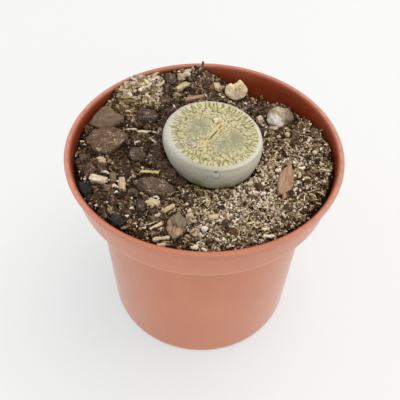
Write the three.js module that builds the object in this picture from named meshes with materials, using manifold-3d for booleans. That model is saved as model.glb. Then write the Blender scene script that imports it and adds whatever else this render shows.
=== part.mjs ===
// Potted lithops: a living-stone plant in a small round nursery pot, with its potting mix
// and the bark, wood chips, straws and stones that lie on it.
// Millimetres, +Z up, origin at the middle of the pot's base.

import * as THREE from 'three';
import { mergeVertices } from 'three/addons/utils/BufferGeometryUtils.js';
import Module from 'manifold-3d';

const wasm = await Module();
wasm.setup();

// Driving dimensions of the pot
const potHeight = 53;
const lipRadius = 32.25;
const lipWidth = 1.45;
const lipDepth = 1;
const lipRounding = 0.35;
const lipOuterRounding = 0.6;
const collarTopRadius = 31.45;
const collarFootRadius = 30.35;
const collarFootHeight = 44.9;
const stepHeight = 43.5;
const bodyTopRadius = 26.15;
const bodyFootRadius = 24.25;
const footOuterRadius = 23.15;
const footInnerRadius = 20;
const footRingHeight = 1.2;
const floorThickness = 1.2;
const wallThickness = 0.95;
const drainHoleRadius = 2.6;
const drainHoleCircle = 13.5;
const drainHoleCount = 6;
const potSides = 72;

// Driving dimensions of the potting mix
const clearance = 0.3;
const soilLevel = 48.7;
const soilRiseAtWall = 2.5;
const soilRiseStart = 16;
const soilRiseEnd = 29;
const unevenness = 0.3;
const heapX = -17.5;
const heapY = 22.5;
const crumbReach = 29;
const crumbCount = 130;
const gritCount = 40;

// Driving dimensions of the plant
const plantCentre = new THREE.Vector2(2.1, 2);
const plantSides = 96;
const socketSides = 36;
const faceRadius = 10.5;
const faceStretch = 0.6;
const faceStretchAngle = THREE.MathUtils.degToRad(121);
const faceTop = 56;
const faceEdgeDrop = 0.75;
const bodyLean = new THREE.Vector2(-0.3, 0.35);
const netDepth = 0.42;
const netCellCount = 62;
const marginNotches = 32;
const marginNotchDepth = 0.45;
const fissureCentre = new THREE.Vector2(2.2, 3.1);
const fissureLength = 6.4;
const fissureWidth = 0.7;
const fissureDepth = 1;
const fissureAngle = THREE.MathUtils.degToRad(64);
const fissureBow = 0.45;

// Colours of the parts
const potColour = 0xc4866c;
const soilColour = 0x5b4a3b;
const plantColour = 0xb9b89a;
const pieceColours = {
  brownBark: 0x6b4c3b,
  greyBark: 0x7d6a5c,
  darkBark: 0x3f3330,
  freshWood: 0xc9a57f,
  oliveWood: 0x8c7a55,
  straw: 0xc9b987,
  dryLeaf: 0xa98465,
  paleStone: 0xc3bdb0,
};

function seededRandom(seed) {
  let state = seed >>> 0;
  return () => {
    state = (state + 0x6d2b79f5) >>> 0;
    let mixed = Math.imul(state ^ (state >>> 15), 1 | state);
    mixed = (mixed + Math.imul(mixed ^ (mixed >>> 7), 61 | mixed)) ^ mixed;
    return ((mixed ^ (mixed >>> 14)) >>> 0) / 4294967296;
  };
}

// A closed shell of shared corners, with the collapsed triangles at its poles left out
function closedShell(geometry) {
  const shell = geometry.clone();
  shell.deleteAttribute('normal');
  shell.deleteAttribute('uv');
  const merged = mergeVertices(shell, 1e-4);
  const corners = merged.index.array;
  const kept = [];
  for (let i = 0; i < corners.length; i += 3) {
    const [a, b, c] = [corners[i], corners[i + 1], corners[i + 2]];
    if (a !== b && b !== c && c !== a) kept.push(a, b, c);
  }
  merged.setIndex(kept);
  return merged;
}

function solidFrom(geometry) {
  const shell = closedShell(geometry);
  return new wasm.Manifold(new wasm.Mesh({
    numProp: 3,
    vertProperties: Float32Array.from(shell.attributes.position.array),
    triVerts: Uint32Array.from(shell.index.array),
  }));
}

function geometryFrom(solid) {
  const mesh = solid.getMesh();
  const geometry = new THREE.BufferGeometry();
  geometry.setAttribute('position', new THREE.BufferAttribute(mesh.vertProperties, 3));
  geometry.setIndex(new THREE.BufferAttribute(mesh.triVerts, 1));
  return geometry;
}

// A profile of [radius, height] points turned about the Z axis
function turned(profile, sides) {
  const points = profile.map(([radius, height]) => new THREE.Vector2(radius, height));
  return new THREE.LatheGeometry(points, sides).rotateX(Math.PI / 2);
}

// Moves every corner of a turned surface by a rule that knows its ring and its side
function reshaped(geometry, ringCount, sides, rule) {
  const positions = geometry.attributes.position;
  const corner = new THREE.Vector3();
  for (let i = 0; i < positions.count; i += 1) {
    corner.fromBufferAttribute(positions, i);
    const side = Math.floor(i / ringCount) % sides;
    rule(corner, i % ringCount, side);
    positions.setXYZ(i, corner.x, corner.y, corner.z);
  }
  return geometry;
}

// Direction of a turned surface's side, seen from above
function sideAngle(side, sides) {
  return side * 2 * Math.PI / sides - Math.PI / 2;
}

function madeMesh(name, geometry, colour, roughness) {
  const material = new THREE.MeshStandardMaterial({ color: colour, roughness, metalness: 0 });
  const mesh = new THREE.Mesh(geometry, material);
  mesh.name = name;
  return mesh;
}

// The pot

const underside = footRingHeight;
const potFloor = footRingHeight + floorThickness;
const lipInnerRadius = lipRadius - lipWidth;
const innerCollarFootRadius = collarFootRadius - wallThickness;
const innerStepRadius = bodyTopRadius - wallThickness;
const innerStepHeight = stepHeight + 0.4;
const innerFloorRadius = bodyFootRadius - wallThickness;
const cornerHeight = 1.3;

function potProfile() {
  return [
    [0, underside],
    [footInnerRadius - 0.2, underside],
    [footInnerRadius, 0],
    [footOuterRadius, 0],
    [bodyFootRadius - 0.25, 0.55],
    [bodyFootRadius, 1.7],
    [bodyTopRadius, stepHeight],
    [collarFootRadius - 0.3, collarFootHeight - 0.4],
    [collarFootRadius, collarFootHeight + 0.3],
    [collarTopRadius, potHeight - lipDepth - 0.2],
    [lipRadius - lipRounding, potHeight - lipDepth],
    [lipRadius, potHeight - lipDepth + lipRounding],
    [lipRadius, potHeight - lipOuterRounding],
    [lipRadius - lipOuterRounding, potHeight],
    [lipInnerRadius + lipRounding, potHeight],
    [lipInnerRadius, potHeight - lipRounding],
    [innerCollarFootRadius, collarFootHeight],
    [innerStepRadius, innerStepHeight],
    [innerFloorRadius, potFloor + cornerHeight],
    [innerFloorRadius - cornerHeight, potFloor],
    [0, potFloor],
  ];
}

function drainHole(x, y) {
  const sides = 16;
  const hole = new THREE.CylinderGeometry(drainHoleRadius, drainHoleRadius, 3 * floorThickness, sides);
  hole.rotateX(Math.PI / 2);
  hole.translate(x, y, underside + floorThickness / 2);
  return solidFrom(hole);
}

function makePot() {
  let pot = solidFrom(turned(potProfile(), potSides));
  pot = pot.subtract(drainHole(0, 0));
  for (let k = 0; k < drainHoleCount; k += 1) {
    const angle = k * 2 * Math.PI / drainHoleCount;
    const hole = drainHole(drainHoleCircle * Math.cos(angle), drainHoleCircle * Math.sin(angle));
    pot = pot.subtract(hole);
  }
  return madeMesh('pot', geometryFrom(pot), potColour, 0.5);
}

// Inner radius of the pot's collar at a height
function collarInside(height) {
  const rise = (height - collarFootHeight) / (potHeight - lipRounding - collarFootHeight);
  const share = THREE.MathUtils.clamp(rise, 0, 1);
  return THREE.MathUtils.lerp(innerCollarFootRadius, lipInnerRadius, share);
}

// The surface of the potting mix

function bump(x, y, centreX, centreY, spread) {
  const distance = Math.hypot(x - centreX, y - centreY);
  return Math.exp(-distance * distance / (2 * spread * spread));
}

function soilHeight(x, y) {
  const rise = THREE.MathUtils.smoothstep(Math.hypot(x, y), soilRiseStart, soilRiseEnd);
  const heap = 3 * bump(x, y, heapX - 1.5, heapY + 0.5, 5.5);
  const hollow = 5.2 * bump(x, y, 13, 25, 6.5) + 1.8 * bump(x, y, 25, 15, 5.5);
  const lumps = Math.sin(0.9 * x + 0.5) * Math.cos(0.8 * y - 1) + 0.7 * Math.sin(1.7 * y + 1.1 * x);
  const bank = 1.7 * bump(x, y, -3.5, 30.5, 4);
  return soilLevel + soilRiseAtWall * rise + heap + bank - hollow + unevenness * lumps;
}

// The plant

// Outline of the patterned face round the plant's centre: an oval, longest across the fissure
function faceOutline(angle) {
  return faceRadius + faceStretch * Math.cos(2 * (angle - faceStretchAngle));
}

// Rings from the middle of the face to its edge, as shares of its outline, and then down the body
// and the root: share of the outline, step outwards from it, and height
const faceRings = [0, 0.11, 0.22, 0.33, 0.44, 0.55, 0.66, 0.76, 0.85, 0.93, 1];
const bodyRings = [
  { share: 1, out: 0.8, height: 54.95 },
  { share: 1, out: 1.3, height: 54.2 },
  { share: 1, out: 1.5, height: 53 },
  { share: 1, out: 1.3, height: 51.4 },
  { share: 1, out: 0.85, height: 49.8 },
  { share: 1, out: 0.3, height: 48.2 },
  { share: 0.93, out: -0.6, height: 45.6 },
  { share: 0.62, out: 0, height: 39.5 },
  { share: 0.26, out: 0, height: 34 },
  { share: 0.15, out: 0, height: 30 },
  { share: 0.09, out: 0, height: 20 },
];
const rootTip = 14;

function faceHeight(share) {
  return faceTop - faceEdgeDrop * share * share;
}

// Centres of the cells of the net: sunflower order, loosened by a seeded draw
function netCells() {
  const random = seededRandom(7);
  const goldenAngle = Math.PI * (3 - Math.sqrt(5));
  const cells = [];
  for (let k = 0; k < netCellCount; k += 1) {
    const radius = faceRadius * Math.sqrt((k + 0.5) / netCellCount) + 0.7 * (random() - 0.5);
    const angle = k * goldenAngle + 0.5 * (random() - 0.5);
    cells.push([radius * Math.cos(angle), radius * Math.sin(angle)]);
  }
  return cells;
}
const cells = netCells();

// 1 in the channels between the cells of the net, 0 on the islands
function netChannel(x, y) {
  let nearest = Infinity;
  let second = Infinity;
  for (const [cellX, cellY] of cells) {
    const distance = Math.hypot(x - cellX, y - cellY);
    if (distance < nearest) {
      second = nearest;
      nearest = distance;
    } else if (distance < second) {
      second = distance;
    }
  }
  return 1 - THREE.MathUtils.smoothstep(second - nearest, 0.1, 1.1);
}

// The relief of the face: channels in the middle, notches that run in from the margin
function faceRelief(x, y, share, side) {
  const step = plantSides / marginNotches;
  const onNotch = side % step === 0;
  const notchStart = Math.floor(side / step) % 2 === 0 ? 0.7 : 0.8;
  const notch = onNotch && share > notchStart && share < 1 ? marginNotchDepth : 0;
  const net = netDepth * netChannel(x, y) * (1 - THREE.MathUtils.smoothstep(share, 0.7, 0.85));
  return Math.max(notch, net);
}

function plantBody(sides, grow, relief) {
  const ringCount = faceRings.length + bodyRings.length + 1;
  const plainProfile = [];
  for (let ring = ringCount - 1; ring >= 0; ring -= 1) {
    const onAxis = ring === 0 || ring === ringCount - 1;
    plainProfile.push([onAxis ? 0 : 1, -ring]);
  }
  const surface = turned(plainProfile, sides);
  return reshaped(surface, ringCount, sides, (corner, index, side) => {
    const ring = ringCount - 1 - index;
    const angle = sideAngle(side, sides);
    const outline = faceOutline(angle);
    const centre = plantCentre.clone();
    let radius = 0;
    let height = rootTip - grow;
    if (ring < faceRings.length) {
      const share = faceRings[ring];
      radius = share * (outline + grow);
      height = faceHeight(share) + grow;
      if (relief && share < 1) {
        height -= faceRelief(radius * Math.cos(angle), radius * Math.sin(angle), share, side);
      }
    } else {
      centre.add(bodyLean);
    }
    if (ring >= faceRings.length && ring < ringCount - 1) {
      const body = bodyRings[ring - faceRings.length];
      radius = body.share * THREE.MathUtils.lerp(faceRadius, outline, body.share) + body.out + grow;
      height = body.height;
    }
    corner.x = centre.x + radius * Math.cos(angle);
    corner.y = centre.y + radius * Math.sin(angle);
    corner.z = height;
  });
}

// The fissure: a short bowed slit, widest in its middle
function fissureCutter() {
  const steps = 10;
  const left = [];
  const right = [];
  for (let k = 0; k <= steps; k += 1) {
    const along = k / steps;
    const x = fissureLength * (along - 0.5);
    const bow = fissureBow * Math.sin(2 * Math.PI * along);
    const half = 0.08 + fissureWidth / 2 * Math.sin(Math.PI * along);
    left.push(new THREE.Vector2(x, bow + half));
    right.push(new THREE.Vector2(x, bow - half));
  }
  const outline = new THREE.Shape([...right, ...left.reverse()]);
  const slit = new THREE.ExtrudeGeometry(outline, { depth: 3 * fissureDepth, bevelEnabled: false });
  slit.rotateZ(fissureAngle);
  slit.translate(fissureCentre.x, fissureCentre.y, faceTop - fissureDepth);
  return solidFrom(slit);
}

function makePlant() {
  const body = solidFrom(plantBody(plantSides, 0, true));
  return madeMesh('lithops', geometryFrom(body.subtract(fissureCutter())), plantColour, 0.6);
}

// The loose pieces on the mix

// A lump with flat faces, its corners loosened by a seeded draw, one unit across
function lump(detail, random) {
  const shape = closedShell(new THREE.IcosahedronGeometry(0.5, detail));
  const positions = shape.attributes.position;
  const corner = new THREE.Vector3();
  for (let i = 0; i < positions.count; i += 1) {
    corner.fromBufferAttribute(positions, i).multiplyScalar(0.86 + 0.28 * random());
    positions.setXYZ(i, corner.x, corner.y, corner.z);
  }
  return shape;
}

// A split chip or straw: a block with loosened corners, one unit across
function chip(random) {
  const shape = closedShell(new THREE.BoxGeometry(1, 1, 1));
  const positions = shape.attributes.position;
  for (let i = 0; i < positions.count; i += 1) {
    const [x, y, z] = [1, 1, 1].map(() => 0.82 + 0.18 * random());
    positions.setXYZ(i, positions.getX(i) * x, positions.getY(i) * y, positions.getZ(i) * z);
  }
  return shape;
}

// A flake with a pointed outline, one unit long, wide and thick
function flake() {
  const steps = 5;
  const upper = [];
  const lower = [];
  for (let k = 0; k < steps; k += 1) {
    const along = k / steps;
    const half = 0.5 * Math.sin(Math.PI * (0.06 + 0.88 * along)) ** 0.8;
    upper.push(new THREE.Vector2(0.5 - along, half));
    lower.push(new THREE.Vector2(along - 0.5, -half));
  }
  const outline = new THREE.Shape([...upper, ...lower]);
  const plate = new THREE.ExtrudeGeometry(outline, { depth: 1, bevelEnabled: false });
  return closedShell(plate.translate(0, 0, -0.5));
}

const makers = {
  slab: (random) => lump(1, random),
  nugget: (random) => lump(0, random),
  chip: (random) => chip(random),
  flake: () => flake(),
};

// A loose piece: its form and look, where it lies, its length, width and height, its turn about Z
// in degrees, and the share of its height that is sunk in the mix
function loosePiece(name, form, look, at, size, turn, sink = 0.42) {
  return { name, form, look, at, size, turn, sink };
}

const pieces = [
  loosePiece('bark_grey_slab', 'slab', 'greyBark', [-24.2, 10.3], [7.8, 5.8, 3.2], 25),
  loosePiece('bark_brown_slab', 'slab', 'brownBark', [-23.4, 2.7], [9.4, 8.2, 3.6], 18),
  loosePiece('bark_dark_ridge', 'slab', 'darkBark', [-14.5, 13.5], [6, 3.8, 2.6], 0),
  loosePiece('bark_dark_back', 'nugget', 'darkBark', [-9.5, 26], [4.2, 4.2, 3], 30),
  loosePiece('bark_knob', 'slab', 'darkBark', [-15.9, 0.4], [4.6, 4.2, 3.2], -15),
  loosePiece('bark_rough_slab', 'slab', 'brownBark', [-11.2, -9.8], [9.4, 5.2, 3.4], -18),
  loosePiece('bark_round', 'nugget', 'darkBark', [-15.6, -12.2], [2.9, 3, 2.6], 10),
  loosePiece('bark_black_flake', 'chip', 'darkBark', [-25.8, -13.3], [3.6, 2.5, 2], -60),
  loosePiece('bark_round_front', 'nugget', 'darkBark', [-13.5, -16.6], [2.8, 3.4, 2.8], 0, 0.34),
  loosePiece('bark_black_front', 'chip', 'darkBark', [-17.7, -22], [3.8, 2.4, 2], -40),
  loosePiece('wood_chip_tan', 'chip', 'freshWood', [-23.8, -3.5], [2.6, 1.9, 1.4], -20),
  loosePiece('wood_chip_left', 'chip', 'freshWood', [-23.5, -10.2], [4.2, 2, 1.5], -12),
  loosePiece('wood_chip_upright', 'chip', 'freshWood', [-18.3, -9.9], [4.2, 1.9, 1.5], 97),
  loosePiece('wood_chip_olive', 'chip', 'oliveWood', [-20.5, -8.4], [3.4, 1.7, 1.4], 100),
  loosePiece('wood_chip_cream', 'chip', 'straw', [-10.8, -14.5], [2.8, 1.6, 1.2], -28),
  loosePiece('wood_chip_front', 'chip', 'freshWood', [2.6, -18.1], [2.6, 1.8, 1.3], 10),
  loosePiece('wood_block_pale', 'slab', 'straw', [7.9, 25.4], [5.8, 3.2, 5.6], 12, 0.2),
  loosePiece('wood_chip_orange', 'chip', 'freshWood', [2.8, 26.1], [2.2, 2.6, 2], 20),
  loosePiece('straw_left', 'chip', 'straw', [-15.5, 8.8], [5.6, 1.2, 1], 0, 0.3),
  loosePiece('straw_yellow', 'chip', 'straw', [-12.6, -5.2], [4.6, 1.2, 1], -4),
  loosePiece('straw_diagonal', 'chip', 'straw', [-7.5, -16.3], [3.8, 1.3, 1.1], 42),
  loosePiece('straw_front_upper', 'chip', 'straw', [-9.7, -22.5], [4.6, 0.9, 0.9], 36),
  loosePiece('straw_front_lower', 'chip', 'straw', [-8.3, -26.4], [3.8, 1, 0.9], 14),
  loosePiece('straw_back', 'chip', 'freshWood', [-3.1, 21], [5.8, 1.3, 1], 20),
  loosePiece('chip_yellow_back', 'chip', 'oliveWood', [-6.1, 23.9], [4.2, 1.7, 1.2], 40),
  loosePiece('flake_leaf', 'flake', 'dryLeaf', [18.9, -7.3], [11.2, 3.3, 1.2], 77, 0.3),
  loosePiece('flake_folded', 'flake', 'greyBark', [-5.4, -22.5], [7.4, 4.2, 1.8], 78),
  loosePiece('stone_mottled', 'slab', 'paleStone', [18.9, 15.6], [6.2, 5.6, 5.2], 30, 0.36),
  loosePiece('stone_white', 'nugget', 'paleStone', [0.7, -22.5], [2, 1.8, 1.6], 0),
  loosePiece('stone_yellow_left', 'nugget', 'paleStone', [18.2, 8.8], [1.6, 1.7, 1.6], 0, 0.36),
  loosePiece('stone_yellow_right', 'nugget', 'paleStone', [20.3, 9.1], [1.6, 1.7, 1.6], 50, 0.36),
  loosePiece('shard_pale', 'chip', 'straw', [13.7, 14.9], [1.6, 1.6, 3], 25, 0.3),
  loosePiece('grit_back', 'nugget', 'paleStone', [-5.4, 27.9], [2.8, 2.2, 1.8], 0),
];

function placed(shape, piece, grow) {
  const [length, width, height] = piece.size;
  const [x, y] = piece.at;
  const moved = shape.clone();
  moved.scale(length + 2 * grow, width + 2 * grow, height + 2 * grow);
  moved.rotateZ(THREE.MathUtils.degToRad(piece.turn));
  moved.translate(x, y, soilHeight(x, y) + height * (0.5 - piece.sink));
  return moved;
}

// A thin dry stem that stands in the mix at the back and leans over the lip
const stemFoot = new THREE.Vector3(-1.6, 27.8, 49.2);
const stemTip = new THREE.Vector3(-1.1, 29.4, 55.6);
const stemRadius = 0.35;

function backStem(grow) {
  const length = stemFoot.distanceTo(stemTip) + 2 * grow;
  const sides = 6;
  const stem = new THREE.CylinderGeometry(stemRadius + grow, stemRadius + grow, length, sides);
  const direction = stemTip.clone().sub(stemFoot).normalize();
  stem.applyQuaternion(new THREE.Quaternion().setFromUnitVectors(new THREE.Vector3(0, 1, 0), direction));
  const middle = stemFoot.clone().add(stemTip).multiplyScalar(0.5);
  return stem.translate(middle.x, middle.y, middle.z);
}

// The potting mix

const soilTopShares = [1, 0.95, 0.89, 0.83, 0.77, 0.71, 0.65, 0.59, 0.53, 0.47, 0.41, 0.3, 0.15, 0];

function soilBlock() {
  const wallProfile = [
    [0, potFloor],
    [innerFloorRadius - cornerHeight - clearance, potFloor],
    [innerFloorRadius - clearance, potFloor + cornerHeight],
    [innerStepRadius - clearance, innerStepHeight],
    [innerCollarFootRadius - clearance, collarFootHeight],
  ];
  const topProfile = soilTopShares.map((share) => [share * collarFootRadius, potHeight]);
  const profile = [...wallProfile, ...topProfile];
  return reshaped(turned(profile, potSides), profile.length, potSides, (corner, ring, side) => {
    if (ring < wallProfile.length) return;
    const angle = sideAngle(side, potSides);
    const share = soilTopShares[ring - wallProfile.length];
    const edgeHeight = soilHeight(lipInnerRadius * Math.cos(angle), lipInnerRadius * Math.sin(angle));
    const radius = share * (collarInside(edgeHeight) - clearance);
    corner.x = radius * Math.cos(angle);
    corner.y = radius * Math.sin(angle);
    corner.z = soilHeight(corner.x, corner.y);
  });
}

function clearOfPieces(x, y, reach) {
  const fromPlant = Math.hypot(x - plantCentre.x, y - plantCentre.y);
  if (fromPlant < faceRadius + 2 + reach) return false;
  return pieces.every((piece) => {
    const half = Math.max(piece.size[0], piece.size[1]) / 2;
    return Math.hypot(x - piece.at[0], y - piece.at[1]) > half + reach + clearance;
  });
}

// A crumb with its root well in the mix
function crumb(x, y, width, random) {
  const shape = lump(0, random);
  shape.scale(width * (1 + 0.4 * random()), width, width * 0.8);
  shape.rotateZ(2 * Math.PI * random());
  shape.translate(x, y, soilHeight(x, y));
  return solidFrom(shape);
}

// Adds a number of crumbs, each where a draw puts it, unless it would touch something else there
function withCrumbs(block, count, seed, draw) {
  const random = seededRandom(seed);
  let soil = block;
  for (let k = 0; k < count; k += 1) {
    const [x, y, width] = draw(random);
    const inPot = Math.hypot(x, y) + width < crumbReach;
    if (inPot && clearOfPieces(x, y, width)) soil = soil.add(crumb(x, y, width, random));
  }
  return soil;
}

// Anywhere on the mix, coarser on the left
function scattered(random) {
  const radius = crumbReach * Math.sqrt(random());
  const angle = 2 * Math.PI * random();
  const x = radius * Math.cos(angle);
  const width = x < -6 ? 1.6 + 1.5 * random() : 1.1 + 0.9 * random();
  return [x, radius * Math.sin(angle), width];
}

// On the heap of coarse grit at the back left
function heaped(random) {
  const x = heapX + 13 * (random() - 0.5);
  const y = heapY + 10 * (random() - 0.5);
  return [x, y, 1.5 + 1.4 * random()];
}

function makeSoil(shapes) {
  let soil = withCrumbs(solidFrom(soilBlock()), crumbCount, 23, scattered);
  soil = withCrumbs(soil, gritCount, 29, heaped);
  soil = soil.subtract(solidFrom(plantBody(socketSides, clearance, false)));
  for (const piece of pieces) {
    soil = soil.subtract(solidFrom(placed(shapes.get(piece.name), piece, clearance)));
  }
  soil = soil.subtract(solidFrom(backStem(clearance)));
  return madeMesh('soil', geometryFrom(soil), soilColour, 0.95);
}

// The whole object

const shapes = new Map();
pieces.forEach((piece, k) => {
  shapes.set(piece.name, makers[piece.form](seededRandom(100 + k)));
});

const pottedLithops = new THREE.Group();
pottedLithops.add(makePot(), makeSoil(shapes), makePlant());
for (const piece of pieces) {
  const shape = placed(shapes.get(piece.name), piece, 0);
  pottedLithops.add(madeMesh(piece.name, shape, pieceColours[piece.look], 0.85));
}
pottedLithops.add(madeMesh('stem_back', closedShell(backStem(0)), pieceColours.darkBark, 0.85));

export default pottedLithops;
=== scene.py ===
import math
from itertools import product

import bmesh
import bpy
import numpy as np
from mathutils import Matrix, Vector


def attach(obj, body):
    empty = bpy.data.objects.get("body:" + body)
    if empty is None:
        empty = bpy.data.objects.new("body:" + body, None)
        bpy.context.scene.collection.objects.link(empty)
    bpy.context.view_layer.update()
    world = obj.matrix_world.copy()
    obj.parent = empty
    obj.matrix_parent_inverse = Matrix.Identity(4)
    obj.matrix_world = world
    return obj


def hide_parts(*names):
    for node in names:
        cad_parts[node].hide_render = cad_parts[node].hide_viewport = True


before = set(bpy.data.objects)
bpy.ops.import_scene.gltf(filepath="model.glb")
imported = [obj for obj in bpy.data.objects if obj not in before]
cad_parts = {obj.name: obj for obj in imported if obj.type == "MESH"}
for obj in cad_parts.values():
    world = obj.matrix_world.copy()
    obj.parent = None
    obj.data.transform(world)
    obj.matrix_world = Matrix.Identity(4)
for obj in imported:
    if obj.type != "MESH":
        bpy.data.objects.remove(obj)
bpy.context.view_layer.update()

MM = 0.001
TURN = 2 * math.pi

# The pot, in millimetres: (radius, height, rounding) from the middle of the underside, out, up and back in
POT_PROFILE = [
    (0, 1.2, 0), (19.8, 1.2, 0.15), (20, 0, 0.12), (23.15, 0, 0.3), (24, 0.55, 0.3), (24.25, 1.7, 0.6),
    (26.15, 43.1, 0.5), (30.05, 44.1, 0.25), (30.35, 44.8, 0.25), (31.35, 51.4, 0.1), (31.3, 52.4, 0.12),
    (32.25, 52.4, 0.25), (32.25, 53, 0.3), (30.8, 53, 0.6), (29.4, 44.9, 0.5), (25.2, 43.9, 0.5),
    (23.3, 3.7, 0.6), (22, 2.4, 0.5), (0, 2.4, 0),
]
POT_SEGMENTS = 240
DRAIN_HOLE_RADIUS = 2.6
DRAIN_HOLE_CIRCLE = 13.5
DRAIN_HOLES = 6
WALL_HEIGHTS = [2.4, 3.7, 43.9, 44.9, 53]
WALL_RADII = [22, 23.3, 25.2, 29.4, 30.8]
WALL_FOOT = 2.45
INSIDE_FROM = 2.2
LIP_FROM = 52.3
LIP_BOW = 0.8

# The plant: each ring of its body is a share of the face's outline, a distance further out, and a height
PLANT_CENTRE = np.array([2.1, 2.0])
BODY_LEAN = np.array([-0.3, 0.35])
PLANT_AXIS = PLANT_CENTRE + BODY_LEAN
FACE_RADIUS = 10.5
FACE_TOP = 55.95
FACE_EDGE_DROP = 0.7
FACE_RINGS = 92
PLANT_SEGMENTS = 480
BODY_STEPS = 150
BODY_RINGS = [
    (1, 0, 55.25), (1, 0.8, 54.95), (1, 1.3, 54.2), (1, 1.5, 53), (1, 1.3, 51.4), (1, 0.85, 49.8),
    (1, 0.3, 48.2), (0.93, -0.6, 45.6), (0.62, 0, 39.5), (0.26, 0, 34), (0.15, 0, 30), (0.09, 0, 20),
]
RING_SHARES, RING_OUTS, RING_LEVELS = np.array(BODY_RINGS, float)[::-1].T
ROOT_TIP = 14
FACE_LIMIT = 55.98
# Where the mix meets the plant, and where grains are kept clear of it
CONTACT_LEVEL = 49.3
CLEAR_LEVEL = 49.2


# Numbers


def smoothstep(value, low, high):
    share = np.clip((value - low) / (high - low), 0, 1)
    return share * share * (3 - 2 * share)


def bump(x, y, centre_x, centre_y, spread):
    return np.exp(-((x - centre_x) ** 2 + (y - centre_y) ** 2) / (2 * spread ** 2))


def bumps(x, y, *rows):
    """A sum of bumps, each given by its height, centre and spread."""
    return sum(height * bump(x, y, *row) for height, *row in rows)


def circle(count):
    return np.arange(count) / count * TURN


shuffler = np.random.default_rng(3)
GRADIENTS = shuffler.normal(size=(256, 3))
GRADIENTS /= np.linalg.norm(GRADIENTS, axis=1)[:, None]
SHUFFLED = shuffler.permutation(256)
SEED_SHIFT = 17.3


def noise(points, size=1.0, seed=0):
    """Smooth noise from about -1 to 1, whose lumps are about as wide as size."""
    places = np.asarray(points, float) / size + SEED_SHIFT * seed
    cell = np.floor(places).astype(int)
    part = places - cell
    fade = part * part * part * (part * (part * 6 - 15) + 10)
    total = np.zeros(len(places))
    for corner in product((0, 1), repeat=3):
        at = (cell + corner) & 255
        pick = SHUFFLED[(SHUFFLED[(SHUFFLED[at[:, 0]] + at[:, 1]) & 255] + at[:, 2]) & 255]
        weight = np.prod(np.where(corner, fade, 1 - fade), axis=1)
        total += weight * ((part - corner) * GRADIENTS[pick]).sum(axis=1)
    return total * 1.7


def flat_noise(x, y, size, seed):
    return noise(np.column_stack([x, y, np.zeros(len(x))]), size, seed)


def soil_base(x, y):
    """The surface of the mix as the CAD solid has it, without crumbs."""
    rise = 2.5 * smoothstep(np.hypot(x, y), 16, 29)
    lumps = np.sin(0.9 * x + 0.5) * np.cos(0.8 * y - 1) + 0.7 * np.sin(1.7 * y + 1.1 * x)
    forms = bumps(x, y, (3, -19, 23, 5.5), (1.7, -3.5, 30.5, 4), (-5.2, 13, 25, 6.5), (-1.8, 25, 15, 5.5))
    return 48.7 + rise + forms + 0.3 * lumps


def wall_gap(x, y):
    """How open the gap between mix and wall is, from 0 to 1: widest at the left, none at the heap."""
    heaped = np.clip(bump(x, y, -3.5, 30.5, 6) + bump(x, y, -19, 23, 7), 0, 1)
    width = 1.1 + 0.5 * smoothstep(-x, 5, 25) + 0.4 * np.sin(0.5 * x + 0.9 * y)
    return smoothstep(np.hypot(x, y), 30.1 - width, 30.3 - 0.4 * width) * (1 - heaped)


def face_outline(angle):
    back = 0.25 * smoothstep(np.sin(angle), 0.5, 1)
    return FACE_RADIUS + 0.6 * np.cos(2 * (angle - math.radians(121))) + back


def plant_reach(angle, height):
    """Distance of the plant's side from its axis."""
    share = np.interp(height, RING_LEVELS, RING_SHARES)
    out = np.interp(height, RING_LEVELS, RING_OUTS)
    return share * (FACE_RADIUS + (face_outline(angle) - FACE_RADIUS) * share) + out


def from_plant(x, y, height):
    """How far places lie outside the plant's side, and in which direction from its axis."""
    angle = np.arctan2(y - PLANT_AXIS[1], x - PLANT_AXIS[0])
    return np.hypot(x - PLANT_AXIS[0], y - PLANT_AXIS[1]) - plant_reach(angle, height), angle


def moat(x, y):
    """How much lower the mix lies beside the plant, most of all in front of it."""
    apart, angle = from_plant(x, y, CONTACT_LEVEL)
    return 0.9 * np.exp(-(apart / 1.6) ** 2) * smoothstep(-np.sin(angle), -0.4, 0.8)


def soil_height(x, y):
    """The surface of the mix with clods and grains, lower beside the plant and at the wall."""
    clods = 0.34 * flat_noise(x, y, 2.6, 11)
    crumbs = 0.4 * (0.45 - np.abs(flat_noise(x, y, 1.1, 12)))
    grains = 0.2 * flat_noise(x, y, 0.45, 13)
    heaped = 0.7 * bump(x, y, -19, 23, 6) * smoothstep(np.hypot(x, y), 27.6, 30)
    return soil_base(x, y) - (1.1 * wall_gap(x, y) + moat(x, y) + heaped) + (clods + crumbs + grains)


def wall_inside(height):
    return np.interp(height, WALL_HEIGHTS, WALL_RADII)


def back_reach(angle):
    """How far the face's pattern runs over the edge: most at the back, not at all in front."""
    return smoothstep(np.sin(angle), -0.3, 0.6)


# Meshes


def new_object(name, data):
    made = bpy.data.objects.new(name, data)
    bpy.context.scene.collection.objects.link(made)
    return made


def evaluated_mesh(carrier):
    """The mesh of an object as its modifiers leave it."""
    graph = bpy.context.evaluated_depsgraph_get()
    return bpy.data.meshes.new_from_object(carrier.evaluated_get(graph))


def new_mesh(name, points, *face_sets):
    """A mesh from points in millimetres and arrays of triangles or quads."""
    mesh = bpy.data.meshes.new(name)
    mesh.vertices.add(len(points))
    mesh.vertices.foreach_set("co", (np.asarray(points, float) * MM).ravel())
    corners = np.concatenate([faces.ravel() for faces in face_sets])
    sizes = np.concatenate([np.full(len(faces), faces.shape[1]) for faces in face_sets])
    mesh.loops.add(len(corners))
    mesh.loops.foreach_set("vertex_index", corners.astype(np.int32))
    mesh.polygons.add(len(sizes))
    mesh.polygons.foreach_set("loop_start", (np.cumsum(sizes) - sizes).astype(np.int32))
    mesh.update(calc_edges=True)
    mesh.validate()
    return mesh


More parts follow.
